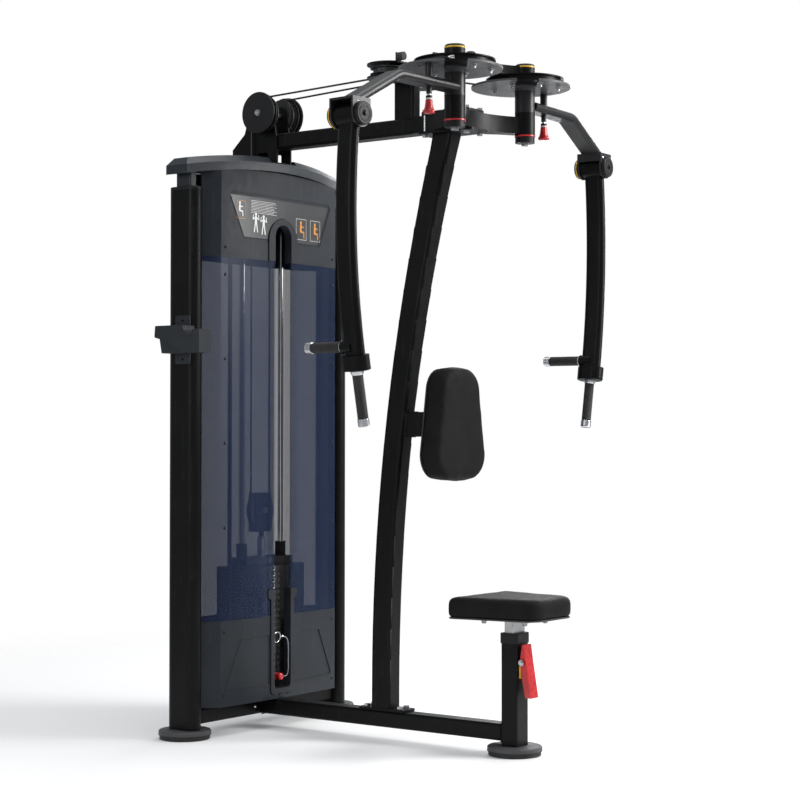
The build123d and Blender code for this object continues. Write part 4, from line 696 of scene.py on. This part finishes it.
# Black drum above each disc, and the lining that shows through the disc's open slot.
DRUM_R, DRUM_INNER_R, FLANGE_R, LINING_R = 0.1087, 0.105, 0.1178, 0.1083
DISC_TOP, FLANGE_BOTTOM, DRUM_TOP = 1.9812, 1.9977, 2.0013
SLOT_ANGLE, SLOT_HALF = math.radians(-53.6), 0.0318
for side, s in SIDES.items():
    turned(f"cam_drum_{side}",
           [(DRUM_INNER_R, DISC_TOP), (DRUM_R, DISC_TOP), (DRUM_R, FLANGE_BOTTOM), (FLANGE_R, FLANGE_BOTTOM),
            (FLANGE_R, DRUM_TOP), (PIVOT_R + 0.0005, DRUM_TOP), (PIVOT_R + 0.0005, DRUM_TOP - 0.0008),
            (DRUM_INNER_R, DRUM_TOP - 0.0008), (DRUM_INNER_R, DISC_TOP)],
           (PIVOT_X, s * PIVOT_Y, 0), UP, BLACK_COAT, f"cam_{side}", 96, None, 30)
    along = Vector((math.cos(SLOT_ANGLE), math.sin(SLOT_ANGLE), 0))
    across = Vector((-along.y, along.x, 0))
    hub = Vector((PIVOT_X, s * PIVOT_Y, DISC_TOP - 0.0005))
    rim = [(math.sqrt(LINING_R**2 - w**2), w) for w in [SLOT_HALF * (k - 8) / 8 for k in range(17)]]
    bm = bmesh.new()
    sheet = [(PIVOT_R + 0.0015, -SLOT_HALF), *rim, (PIVOT_R + 0.0015, SLOT_HALF)]
    bridge(bm, [[bm.verts.new(hub + along * r + across * w + Vector((0, 0, z))) for r, w in sheet]
                for z in (0, 0.0006)])
    mesh_piece(f"cam_slot_lining_{side}", bm, BLACK_COAT, f"cam_{side}", smooth=False)

# ---- pull pins
pin_low, pin_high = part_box("pull_pin_right")
PIN_X, PIN_Y = (pin_low.x + pin_high.x) / 2, (pin_low.y + pin_high.y) / 2
KNOB_Z, PIN_TOP = pin_low.z, pin_high.z - pin_low.z
KNOB_TOP = 0.0392
knob = [(0, 0), (0.0125, 0), (0.0150, 0.0006), (0.0168, 0.0022), (0.0176, 0.0045), (0.0172, 0.0070),
        (0.0160, 0.0090), (0.0142, 0.0125), (0.0125, 0.0175), (0.0114, 0.0235), (0.0107, 0.0300),
        (0.0101, 0.0360), (0.0098, 0.0385), (0.0092, KNOB_TOP), (0.006, KNOB_TOP)]


def knob_ribs(angle, along):
    return -0.00035 * max(0, math.cos(10 * angle)) if along > 0.008 else 0


for side, s in SIDES.items():
    body, spot = f"pull_pin_{side}", Vector((PIN_X, s * abs(PIN_Y), KNOB_Z))
    grip = turned(f"pull_knob_{side}", knob, spot, UP, RED, body, 56, knob_ribs)
    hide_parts(f"pull_pin_{side}")
    turned(f"pull_knob_ring_{side}", ring_profile(0.0045, 0.0098, KNOB_TOP, 0.0440, 0.0012), spot, UP,
           WHITE, body, 40)
    turned(f"pull_pin_boot_{side}", ring_profile(0.0048, 0.0092, 0.0442, 0.0510, 0.0012), spot, UP,
           BLACK_PLASTIC, body, 40)
    turned(f"pull_pin_shaft_{side}", [(0, KNOB_TOP), (0.005, KNOB_TOP), (0.005, PIN_TOP - 0.0015),
           (0.0038, PIN_TOP), (0, PIN_TOP)], spot, UP, CHROME, body, 32)

# ---- elbows
for side, s in SIDES.items():
    body = f"arm_{side}"
    front, rear = arm_vector(side, 0, -1, 0), arm_vector(side, 0, 1, 0)
    elbow = arm_point(side, ELBOW_REACH, 0, ELBOW_Z)
    bm = bmesh.new()
    hex_bolt(bm, arm_point(side, ELBOW_REACH, -0.054, ELBOW_Z), front, 0.0065, 0.0045, 0.0090)
    mesh_piece(f"elbow_bolt_{side}", bm, BLACK_PLASTIC, body, smooth=False)
    turned(f"elbow_face_{side}", ring_profile(0.0190, 0.0222, 0.0536, 0.0550, 0.0005), elbow, front,
           BLACK_PLASTIC, body, 64)
    turned(f"elbow_ring_{side}", ring_profile(0.0300, 0.0328, 0.0475, 0.0515, 0.0012), elbow, rear,
           YELLOW, body, 64)
    bm = bmesh.new()
    button_bolt(bm, arm_point(side, ELBOW_REACH, 0.058, ELBOW_Z), rear, 0.010, 0.004)
    mesh_piece(f"elbow_rear_bolt_{side}", bm, CHROME, body)
    bm = bmesh.new()
    for reach in (-0.020, 0.016):
        spot = arm_point(side, ELBOW_REACH + reach, -0.0423, ELBOW_Z + 0.029)
        button_bolt(bm, spot, front, 0.0052, 0.0024)
    mesh_piece(f"elbow_screws_{side}", bm, CHROME, body)

# ---- handles
ARM_ARC = ((0.455, 1.786), (0.469, 1.540), (0.4284, 1.122))


def arc_end(points):
    """Direction in which an arc through three points leaves its last point."""
    (x1, y1), (x2, y2), (x3, y3) = points
    d = 2 * (x1 * (y2 - y3) + x2 * (y3 - y1) + x3 * (y1 - y2))
    a, b, c = x1**2 + y1**2, x2**2 + y2**2, x3**2 + y3**2
    cx = (a * (y2 - y3) + b * (y3 - y1) + c * (y1 - y2)) / d
    cy = (a * (x3 - x2) + b * (x1 - x3) + c * (x2 - x1)) / d
    out = Vector((x3 - cx, y3 - cy)).normalized()
    along = Vector((-out.y, out.x))
    return along if along.y < 0 else -along


leave = arc_end(ARM_ARC)
GRIP_Z = 1.165
grip_reach = ARM_ARC[2][0] + (GRIP_Z - ARM_ARC[2][1]) * math.tan(math.radians(11))


def ribbed(angle, along):
    return 0.00045 * math.cos(2 * math.pi * along / 0.0040)


def knurl(angle, along):
    return 0.00030 * (math.cos(28 * angle + along * 2600) + math.cos(28 * angle - along * 2600))


GRIP_INNER_R, KNURL_END = 0.0112, 0.0026
for side, s in SIDES.items():
    body = f"lower_arm_{side}"
    down_axis = arm_vector(side, leave.x, 0, leave.y).normalized()
    side_axis = arm_vector(side, 0, 1, 0).normalized()
    grips = (
        ("down", arm_point(side, ARM_ARC[2][0], 0, ARM_ARC[2][1]), down_axis, 0.021, 0.012, 0.119, 0.022),
        ("side", arm_point(side, grip_reach, 0, GRIP_Z), side_axis, 0.038, 0.008, 0.102, 0.021),
    )
    for tag, origin, axis, start, cone, grip, end in grips:
        g0, g1 = start + cone, start + cone + grip
        rows = [(GRIP_INNER_R, g0 + 0.0002), (0.0140, g0 + 0.0002), (0.0152, g0 + 0.0014)]
        steps = int(grip / 0.001)
        rows += [(0.0148, g0 + 0.002 + (grip - 0.004) * k / steps) for k in range(steps + 1)]
        rows += [(0.0152, g1 - 0.0014), (0.0140, g1 - 0.0002), (GRIP_INNER_R, g1 - 0.0002)]
        sleeve = turned(f"grip_{tag}_{side}", rows, origin, axis, GRIP, body, 44, ribbed, 60)
        rows = [(GRIP_INNER_R, start + 0.0003), (0.0178, start + 0.0003), (0.0189, start + 0.0014),
                (0.0180, start + cone * 0.45), (0.0162, g0 - 0.002), (0.0152, g0 - 0.0003),
                (GRIP_INNER_R, g0 - 0.0003)]
        turned(f"grip_cone_{tag}_{side}", rows, origin, axis, CHROME, body, 48, None, 40)
        rows = [(0, g1 + 0.0003), (0.0148, g1 + 0.0003), (0.0161, g1 + 0.0014)]
        steps = 34
        rows += [(0.0158, g1 + KNURL_END + (end - 0.0052) * k / steps) for k in range(steps + 1)]
        rows += [(0.0161, g1 + end - 0.0016), (0.0148, g1 + end - 0.0003), (0.0120, g1 + end), (0, g1 + end)]
        tip = turned(f"grip_end_{tag}_{side}", rows, origin, axis, CHROME, body, 84,
                     lambda angle, along, a=g1 + KNURL_END, b=g1 + end - KNURL_END: knurl(angle, along)
                     if a <= along <= b else 0, 60)
        bm = bmesh.new()
        button_bolt(bm, origin + axis * (g1 + end), axis, 0.0060, 0.0008)
        mesh_piece(f"grip_screw_{tag}_{side}", bm, ZINC, body)
        if tag == "down":
            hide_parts(f"handle_grips_{side}")
            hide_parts(f"handle_ends_{side}")

# ---- cable drops: two fixed strands the height of the CAD drops (on the machine they shorten as the stack rises)
drop_low, drop_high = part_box("cable_drops")
DROP, STRAND_R = drop_high.z - drop_low.z, 0.003
bm = bmesh.new()
for y in (drop_low.y + STRAND_R, drop_high.y - STRAND_R):
    rows = [(STRAND_R, DROP * k / 60) for k in range(61)]
    lathe(bm, [(0, 0)] + rows + [(0, rows[-1][1])], ((drop_low.x + drop_high.x) / 2, y, drop_low.z), UP, 16)
drops = mesh_piece("cable_drop_strands", bm, CABLE, "frame")
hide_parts("cable_drops")
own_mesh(drops)

# ---- selector pin's lanyard, its ring and crimps
LANYARD_POINTS = [
    (0.080, 0.002, 0.284), (0.084, 0.014, 0.286), (0.086, 0.030, 0.276), (0.086, 0.034, 0.250),
    (0.086, 0.033, 0.208), (0.086, 0.034, 0.180), (0.085, 0.030, 0.160), (0.081, 0.020, 0.156),
    (0.078, 0.013, 0.1583),
]
line = bpy.data.curves.new("selector_lanyard", "CURVE")
line.dimensions = "3D"
line.bevel_depth = 0.0018
line.bevel_resolution = 4
line.resolution_u = 16
line.use_fill_caps = True
spline = line.splines.new("NURBS")
spline.points.add(len(LANYARD_POINTS) - 1)
for target, (x, y, z) in zip(spline.points, LANYARD_POINTS):
    target.co = (TX + x, y, z, 1)
spline.order_u = 3
spline.use_endpoint_u = True
lanyard = add_object("selector_lanyard", line)
line.materials.append(LANYARD)
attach(lanyard, "stack")
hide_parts("pin_lanyard")

ring_points = []
RING_CENTRE, RING_RADIUS = Vector((TX + 0.080, -0.016, 0.284)), 0.0165
for k in range(40):
    angle = 2 * math.pi * k / 40
    ring_points.append(RING_CENTRE + Vector((0.0015 * math.sin(angle), RING_RADIUS * math.cos(angle),
                                             RING_RADIUS * math.sin(angle))))
lanyard_ring = tube_mesh("lanyard_ring", ring_points, 0.0019, CHROME, "stack", closed=True)
crimp_axis = Vector((0.004, 0.012, 0.002)).normalized()
lanyard_crimp = turned("lanyard_crimp", [(0, -0.001), (0.0026, -0.0008), (0.0030, 0.0002), (0.0030, 0.0080),
                       (0.0026, 0.0090), (0.0019, 0.0092)], (TX + 0.0805, 0.0025, 0.2842), crimp_axis,
                       CHROME, "stack", 24)

# Selector pin's knob: ribbed and domed, on a steel pin.
pin_z, knob_x = centre("selector_pin").z, TX + 0.060
pin_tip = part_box("selector_pin")[0].x - knob_x
pin_knob = [(0, 0), (0.0100, 0), (0.0112, 0.0008), (0.0116, 0.0022)]
pin_knob += [(0.0114, 0.004 + 0.0010 * k) for k in range(18)]
for k in range(1, 6):
    turn = math.pi / 2 * k / 6
    pin_knob.append((0.0072 + 0.0042 * math.cos(turn), 0.0225 + 0.005 * math.sin(turn)))
pin_knob += [(0.0060, 0.0280), (0.0050, 0.0272), (0, 0.0270)]
selector_knob = turned("selector_knob", pin_knob, (knob_x, 0, pin_z), OUT, RED, "selector_pin",
                       64, lambda angle, along: -0.0004 * max(0, math.cos(14 * angle))
                       if 0.004 <= along <= 0.022 else 0, 50)
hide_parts("selector_pin")
turned("selector_shaft",
       [(0, pin_tip), (0.0040, pin_tip), (0.00495, pin_tip + 0.0015), (0.00495, 0), (0, 0)],
       (knob_x, 0, pin_z), OUT, CHROME, "selector_pin", 32)

# ---- weight stack: numerals, hole rims, bolt and nuts
plates_low, plates_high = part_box("weight_plates")
PLATE_COUNT, PLATE_GAP = 19, 0.0004
PLATE_PITCH = (plates_high.z - plates_low.z + PLATE_GAP) / PLATE_COUNT
DIGIT_W, DIGIT_H, DIGIT_STEP = 0.0040, 0.008, 0.0065
STROKES = {
    "0": "abcdef", "1": "bc", "2": "abged", "3": "abgcd", "4": "fgbc", "5": "afgcd", "6": "afgedc",
    "7": "abc", "8": "abcdefg", "9": "abcdfg",
}
SEGMENTS = {
    "a": ((0, 1), (1, 1)), "b": ((1, 1), (1, 0.5)), "c": ((1, 0.5), (1, 0)), "d": ((0, 0), (1, 0)),
    "e": ((0, 0), (0, 0.5)), "f": ((0, 0.5), (0, 1)), "g": ((0, 0.5), (1, 0.5)),
}


def stroke(bm, a, b, width, thick, out):
    """Thin printed bar between two points on a face whose outward direction is given."""
    along = (b - a).normalized()
    across = out.cross(along) * width / 2
    tip = along * width / 2
    corners = (a - tip - across, b + tip - across, b + tip + across, a - tip + across)
    bridge(bm, [[bm.verts.new(p + out * lift) for p in corners] for lift in (0, thick)])


bm = bmesh.new()
for level in range(PLATE_COUNT):
    text = str((PLATE_COUNT - level) * 5)
    base = Vector((plates_high.x, 0.020, plates_low.z + PLATE_PITCH * level + 0.005))
    for place, digit in enumerate(text):
        corner = base + Vector((0, DIGIT_STEP * place, 0))
        for code in STROKES[digit]:
            a, b = [corner + Vector((0, DIGIT_W * y, DIGIT_H * z)) for y, z in SEGMENTS[code]]
            stroke(bm, a, b, 0.0011, 0.0002, OUT)
mesh_piece("plate_numerals", bm, NUMERAL, "stack", smooth=False)

bm = bmesh.new()
for level in range(PLATE_COUNT):
    z = plates_low.z + PLATE_PITCH * level + 0.0093
    lathe(bm, ring_profile(0.0052, 0.0078, 0, 0.0006, 0.0002), (plates_high.x, 0, z), OUT, 24)
mesh_piece("plate_hole_rims", bm, ZINC, "stack")
bm = bmesh.new()
head_low, head_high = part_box("head_plate")
button_bolt(bm, (head_high.x, 0, (head_low.z + head_high.z) / 2), OUT, 0.010, 0.006)
mesh_piece("head_plate_bolt", bm, CHROME, "stack")
fork_low, fork_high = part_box("floating_bracket")
bm = bmesh.new()
lathe(bm, ring_profile(0.0085, 0.0125, 0, 0.007, 0.0012), (TX, 0, fork_low.z + 0.001), UP, 6)
lathe(bm, ring_profile(0.0062, 0.0110, 0, 0.005, 0.001),
      (fork_high.x, 0, centre("floating_pulley").z), OUT, 6)
mesh_piece("floating_pulley_nuts", bm, ZINC, "stack", smooth=False)

# ---- pulley covers: centre bolt and band
cover, cover_y = centre("pulley_covers"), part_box("pulley_covers")[1].y
for side, s in SIDES.items():
    bm = bmesh.new()
    button_bolt(bm, (cover.x, s * cover_y, cover.z), (0, s, 0), 0.0075, 0.003)
    mesh_piece(f"pulley_cover_bolt_{side}", bm, BLACK_PLASTIC, "frame")
    turned(f"pulley_groove_band_{side}",
           [(0.0565, 0.0), (0.0618, 0.0), (0.0622, 0.0006), (0.0618, 0.0012), (0.0565, 0.0012),
            (0.0565, 0.0)],
           (cover.x, s * 0.0545, cover.z), (0, s, 0), GREY_PLASTIC, "frame", 72, None, 30)

# ---- fasteners of the base and the slot frame
bm = bmesh.new()
button_bolt(bm, (TX + 0.0301, -0.062, 0.066), OUT, 0.0065, 0.004)
for y in (-0.020, 0.020):
    button_bolt(bm, (TX + 0.078, y, 0.0895), UP, 0.006, 0.003)
mesh_piece("crossbeam_bolts", bm, CHROME, "frame")

bm = bmesh.new()
for y in (-0.009, 0.028):
    plug = (TX + 0.0906, y, 0.1065)
    lathe(bm, ring_profile(0.0032, 0.0052, 0, 0.0008, 0.0003), plug, OUT, 24)
    lathe(bm, [(0, 0.0001), (0.0033, 0.0001), (0.0033, 0.0004), (0, 0.0004)], plug, OUT, 20)
mesh_piece("slot_frame_plugs", bm, BLACK_PLASTIC, "frame")

# Screws of the shroud skins, on both faces.
SCREW_HEIGHTS = (0.420, 0.640, 0.900, 1.160, 1.420, 0.125, 0.320, 1.505)


def skin_x(y):
    """How far the shroud's front stands from the column plane at a place across the machine."""
    return 0.078 + 0.010 * (1 - (y / 0.282) ** 2)


bm = bmesh.new()
for face in (1, -1):
    for y in (-0.265, 0.265):
        for z in SCREW_HEIGHTS:
            button_bolt(bm, (TX + face * (skin_x(y) + 0.0001), y, z), (face, 0, 0), 0.0048, 0.0022)
mesh_piece("shroud_screws", bm, BLACK_PLASTIC, "frame")

# Inner guide strips behind the window's edges.
for index, (y, half) in enumerate(((-0.232, 0.006), (0.232, 0.018))):
    rounded_block(f"window_stiffener_{index}", (TX + 0.066, y - half, 0.357), (TX + 0.0745, y + half, 1.473),
                  0.0015, SHROUD, "frame")

# ---- instruction panel with plain pictograms
def on_skin(y, z, lift):
    return Vector((TX + skin_x(y) - 0.0015 + lift, y, z))


def panel_strip(bm, lift, columns):
    """The panel's curved sheet on the shroud, from side to side."""
    previous = None
    for k in range(columns + 1):
        y = PANEL_HALF * (2 * k / columns - 1)
        pair = (bm.verts.new(on_skin(y, panel_floor(y), lift)), bm.verts.new(on_skin(y, 1.671, lift)))
        if previous:
            bm.faces.new((previous[0], pair[0], pair[1], previous[1]))
        previous = pair


def panel_floor(y):
    """Lower edge of the panel, which rises over the slot's round top and at its slanted sides."""
    slanted = 1.543 + max(0, abs(y) - 0.182) / 0.061 * 0.128
    reach = 0.0590
    over_slot = 1.5555 + math.sqrt(reach**2 - y**2) if abs(y) < reach else 0
    return min(1.670, max(slanted, over_slot))


bm = bmesh.new()
PANEL_HALF = 0.242
panel_strip(bm, 0.0005, 120)
mesh_piece("panel_sheet", bm, PANEL, "frame")


def disc(bm, y, z, radius, lift=0.0008, parts=20):
    turns = [2 * math.pi * k / parts for k in range(parts)]
    bm.faces.new([bm.verts.new(on_skin(y + radius * math.cos(t), z + radius * math.sin(t), lift))
                  for t in turns])


def bar(bm, a, b, width, lift=0.0008):
    """Flat bar with round ends between two (y, z) places."""
    a, b = Vector(a), Vector(b)
    along = (b - a).normalized()
    across = Vector((-along.y, along.x)) * width / 2
    parts = max(1, round((b - a).length / 0.02))
    previous = None
    for k in range(parts + 1):
        middle = a.lerp(b, k / parts)
        pair = [bm.verts.new(on_skin(c.x, c.y, lift)) for c in (middle - across, middle + across)]
        if previous:
            bm.faces.new((previous[0], pair[0], pair[1], previous[1]))
        previous = pair
    disc(bm, a.x, a.y, width / 2, lift, 10)
    disc(bm, b.x, b.y, width / 2, lift, 10)


# Figures of unit height: the head's place and radius, then bars with their widths.
STANDING = [((0, 0.92), 0.085), ((0, 0.76), (0, 0.48), 0.17)]
for t in (-1, 1):
    STANDING += [((t * 0.05, 0.46), (t * 0.12, 0.04), 0.08), ((t * 0.08, 0.74), (t * 0.22, 0.66), 0.06),
                 ((t * 0.22, 0.66), (t * 0.19, 0.88), 0.055)]
SEATED = [((-0.10, 0.90), 0.09), ((-0.10, 0.74), (-0.12, 0.42), 0.16), ((-0.12, 0.38), (0.16, 0.36), 0.10),
          ((0.16, 0.36), (0.18, 0.06), 0.08), ((-0.08, 0.68), (0.16, 0.66), 0.06)]


def figure(bm, shape, y, z, size, lift=0.0008):
    """Plain figure drawn on the panel from a table of its parts."""
    (hy, hz), head = shape[0]
    disc(bm, y + hy * size, z + hz * size, head * size, lift)
    for (y0, z0), (y1, z1), width in shape[1:]:
        bar(bm, (y + y0 * size, z + z0 * size), (y + y1 * size, z + z1 * size), width * size, lift)


def border(bm, y0, y1, z0, z1, width=0.0012, lift=0.0008):
    for a, b in (((y0, z0), (y1, z0)), ((y1, z0), (y1, z1)), ((y1, z1), (y0, z1)), ((y0, z1), (y0, z0))):
        bar(bm, a, b, width, lift)


bm = bmesh.new()
figure(bm, STANDING, -0.128, 1.561, 0.062)
figure(bm, STANDING, -0.092, 1.556, 0.062)
figure(bm, SEATED, -0.196, 1.605, 0.048)
for row in range(9):
    short = 0.030 * rng.random()
    bar(bm, (-0.150, 1.660 - 0.0047 * row), (-0.028 - short, 1.660 - 0.0047 * row), 0.0011)
for y in (0.068, 0.142):
    border(bm, y, y + 0.052, 1.556, 1.622)
mesh_piece("panel_print_white", bm, WHITE, "frame", smooth=False)
bm = bmesh.new()
border(bm, -0.214, -0.176, 1.600, 1.655, 0.0012)
for y in (0.098, 0.172):
    figure(bm, SEATED, y, 1.560, 0.056, 0.0009)
mesh_piece("panel_print_orange", bm, ORANGE, "frame", smooth=False)

# Moulded lip along the panel's lower edge.
lip = [on_skin(y, panel_floor(y), 0.0008) for y in [PANEL_HALF * (1 - k / 60) for k in range(121)]]
tube_mesh("panel_lip", lip, 0.0009, SHROUD, "frame", sides=8)

# Raised lips round the two recesses of the lower shroud.
LOWER_RECESS = ((0.060, 0.295), (0.190, 0.295), (0.262, 0.140), (0.060, 0.135))
for side, s in SIDES.items():
    lip = []
    for (y0, z0), (y1, z1) in zip(LOWER_RECESS, LOWER_RECESS[1:] + LOWER_RECESS[:1]):
        for k in range(12):
            y, z = y0 + (y1 - y0) * k / 12, z0 + (z1 - z0) * k / 12
            lip.append(on_skin(s * y, z, 0.0014))
    tube_mesh(f"recess_lip_{side}", lip, 0.0014, SHROUD, "frame", closed=True, sides=8)

# ---- seat lever, bolts under the seat, pad bracket
LEVER_X, LEVER_Z = SEAT_X + 0.0275 + 0.010, 0.271
bm = bmesh.new()
hex_bolt(bm, (LEVER_X, -0.0242, LEVER_Z), (0, -1, 0), 0.0065, 0.004, 0.009)
button_bolt(bm, (LEVER_X, 0.0242, LEVER_Z), (0, 1, 0), 0.0075, 0.004)
mesh_piece("lever_pin_heads", bm, CHROME, "frame", smooth=False)
rounded_block("lever_latch", (SEAT_X + 0.0279, -0.0205, 0.225), (SEAT_X + 0.0330, -0.0085, 0.262), 0.001,
              YELLOW, "frame")
bm = bmesh.new()
bolt_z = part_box("seat_stem")[1].z - 0.012
for x in (-0.070, 0.070):
    for y in (-0.055, 0.055):
        hex_bolt(bm, (SEAT_X + x, y, bolt_z), DOWN, 0.0065, 0.005, 0)
mesh_piece("seat_bolts", bm, ZINC, "seat", smooth=False)
bm = bmesh.new()
bracket_low, bracket_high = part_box("pad_bracket")
mid_z = centre("pad_bracket").z
for y in (-0.050, 0.050):
    for z in (-0.082, 0.082):
        hex_bolt(bm, (bracket_high.x - 0.006, y, mid_z + z), (-1, 0, 0), 0.0065, 0.004, 0.009)
mesh_piece("pad_bracket_bolts", bm, ZINC, "frame", smooth=False)


# Weld beads where the bracket meets the column and where the beams meet.
def weld(name, loop, radius=0.0022):
    """Rippled weld bead along a closed loop."""
    dense = []
    for a, b in zip(loop, loop[1:] + loop[:1]):
        a, b = Vector(a), Vector(b)
        count = max(2, int((b - a).length / 0.004))
        for k in range(count):
            dense.append(a.lerp(b, k / count))
    bm = bmesh.new()
    for k, point in enumerate(dense):
        ahead = (dense[(k + 1) % len(dense)] - point).normalized()
        lathe(bm, [(0, -radius), (radius * 0.75, -radius * 0.6), (radius, 0), (radius * 0.75, radius * 0.6),
                   (0, radius)], point, ahead, 8)
    return mesh_piece(name, bm, BLACK_COAT, "frame")


HALF_W, HALF_H = 0.0255, 0.038                  # the bracket's tube
rise = math.tan(math.radians(7.38)) * HALF_H    # how far the column leans over that height
bead_x = bracket_low.x + 0.008
weld("weld_pad_bracket", [(bead_x + t * rise + 0.007, w, mid_z + t * HALF_H)
                          for t, w in ((-1, -HALF_W), (-1, HALF_W), (1, HALF_W), (1, -HALF_W))], 0.0018)
for name, x in (("weld_base_front", TX + 0.0305), ("weld_seat_post", SEAT_X - 0.0280)):
    weld(name, [(x, y, z) for y, z in ((-0.0305, 0.0395), (0.0305, 0.0395), (0.0305, 0.0905),
                                       (-0.0305, 0.0905))])

# Foot pads: a moulded groove round each foot.
for index, (x, y) in enumerate(((TX, 0.355), (TX, -0.355), (SEAT_X, 0))):
    turned(f"foot_groove_{index}", ring_profile(0.0762, 0.0805, 0.0128, 0.0152, 0.0009), (x, y, 0), UP,
           RUBBER, "frame", 96)

# ---- floor, light and camera
floor_mesh = bpy.data.meshes.new("studio_floor")
bm = bmesh.new()
bmesh.ops.create_grid(bm, x_segments=8, y_segments=8, size=14)
bm.to_mesh(floor_mesh)
bm.free()
floor = add_object("studio_floor", floor_mesh)
floor_look = bpy.data.materials.new("studio_floor_pale")
floor_look.use_nodes = True
tree = floor_look.node_tree
pale = tree.nodes["Principled BSDF"]
set_inputs(pale, Base_Color=(0.88, 0.88, 0.88, 1), Emission_Color=(1, 1, 1, 1), Emission_Strength=0.06,
           Roughness=0.55, Specular_IOR_Level=0.2)
coords = add_node(tree, "TexCoord")
distance = add_node(tree, "VectorMath")
distance.operation = "LENGTH"
tree.links.new(coords.outputs["Object"], distance.inputs[0])
fade = add_node(tree, "MapRange", From_Min=1.2, From_Max=3.6)
fade.interpolation_type = "SMOOTHSTEP"
tree.links.new(distance.outputs["Value"], fade.inputs["Value"])
clear = add_node(tree, "BsdfTransparent")
mix = add_node(tree, "MixShader")
tree.links.new(fade.outputs["Result"], mix.inputs["Fac"])
tree.links.new(pale.outputs["BSDF"], mix.inputs[1])
tree.links.new(clear.outputs["BSDF"], mix.inputs[2])
tree.links.new(mix.outputs["Shader"], tree.nodes["Material Output"].inputs["Surface"])
floor_mesh.materials.append(floor_look)

AZIMUTH, PITCH, ROLL = math.radians(36.42), math.radians(0.913), math.radians(0.072)
LOOK = Vector((-math.sin(AZIMUTH), math.cos(AZIMUTH), 0))
RIGHT = Vector((math.cos(AZIMUTH), math.sin(AZIMUTH), 0))
MIDDLE = Vector((0, 0, 1.0))


def area_light(name, right, towards, up, size, energy):
    """Soft light, placed by how far right of, in front of and above the machine's foot it stands."""
    light = bpy.data.lights.new(name, "AREA")
    light.shape = "RECTANGLE"
    light.size, light.size_y = size
    light.energy = energy
    holder = add_object(name, light)
    holder.location = RIGHT * right - LOOK * towards + Vector((0, 0, up))
    holder.rotation_euler = (MIDDLE - holder.location).to_track_quat("-Z", "Y").to_euler()


area_light("key_right", 4.2, 0.3, 3.0, (1.8, 2.8), 230)
area_light("fill_front_left", -3.4, 3.6, 2.2, (1.6, 2.4), 42)
area_light("top_soft", 0.2, 0.4, 4.6, (3.2, 3.2), 90)
area_light("rim_behind", 1.6, -4.0, 2.4, (2.4, 2.0), 90)

world = bpy.data.worlds.new("studio")
bpy.context.scene.world = world
world.use_nodes = True
tree = world.node_tree
backdrop = tree.nodes["Background"]
set_inputs(backdrop, Color=(1, 1, 1, 1), Strength=1.0)
ambient = add_node(tree, "Background", Color=(0.92, 0.95, 1, 1), Strength=0.42)
rays = add_node(tree, "LightPath")
mix = add_node(tree, "MixShader")
tree.links.new(rays.outputs["Is Camera Ray"], mix.inputs["Fac"])
tree.links.new(ambient.outputs["Background"], mix.inputs[1])
tree.links.new(backdrop.outputs["Background"], mix.inputs[2])
tree.links.new(mix.outputs["Shader"], tree.nodes["World Output"].inputs["Surface"])

camera_data = bpy.data.cameras.new("photo_camera")
camera_data.sensor_width = 36
camera_data.lens = 85.28
camera_data.clip_end = 100
camera = add_object("photo_camera", camera_data)
turn = (Matrix.Rotation(AZIMUTH, 4, "Z") @ Matrix.Rotation(math.pi / 2 + PITCH, 4, "X")
        @ Matrix.Rotation(ROLL, 4, "Z"))
camera.matrix_world = Matrix.Translation((TX + 3.9728, -4.6351, 0.9413)) @ turn
bpy.context.scene.camera = camera
bpy.context.scene.view_settings.view_transform = "Standard"
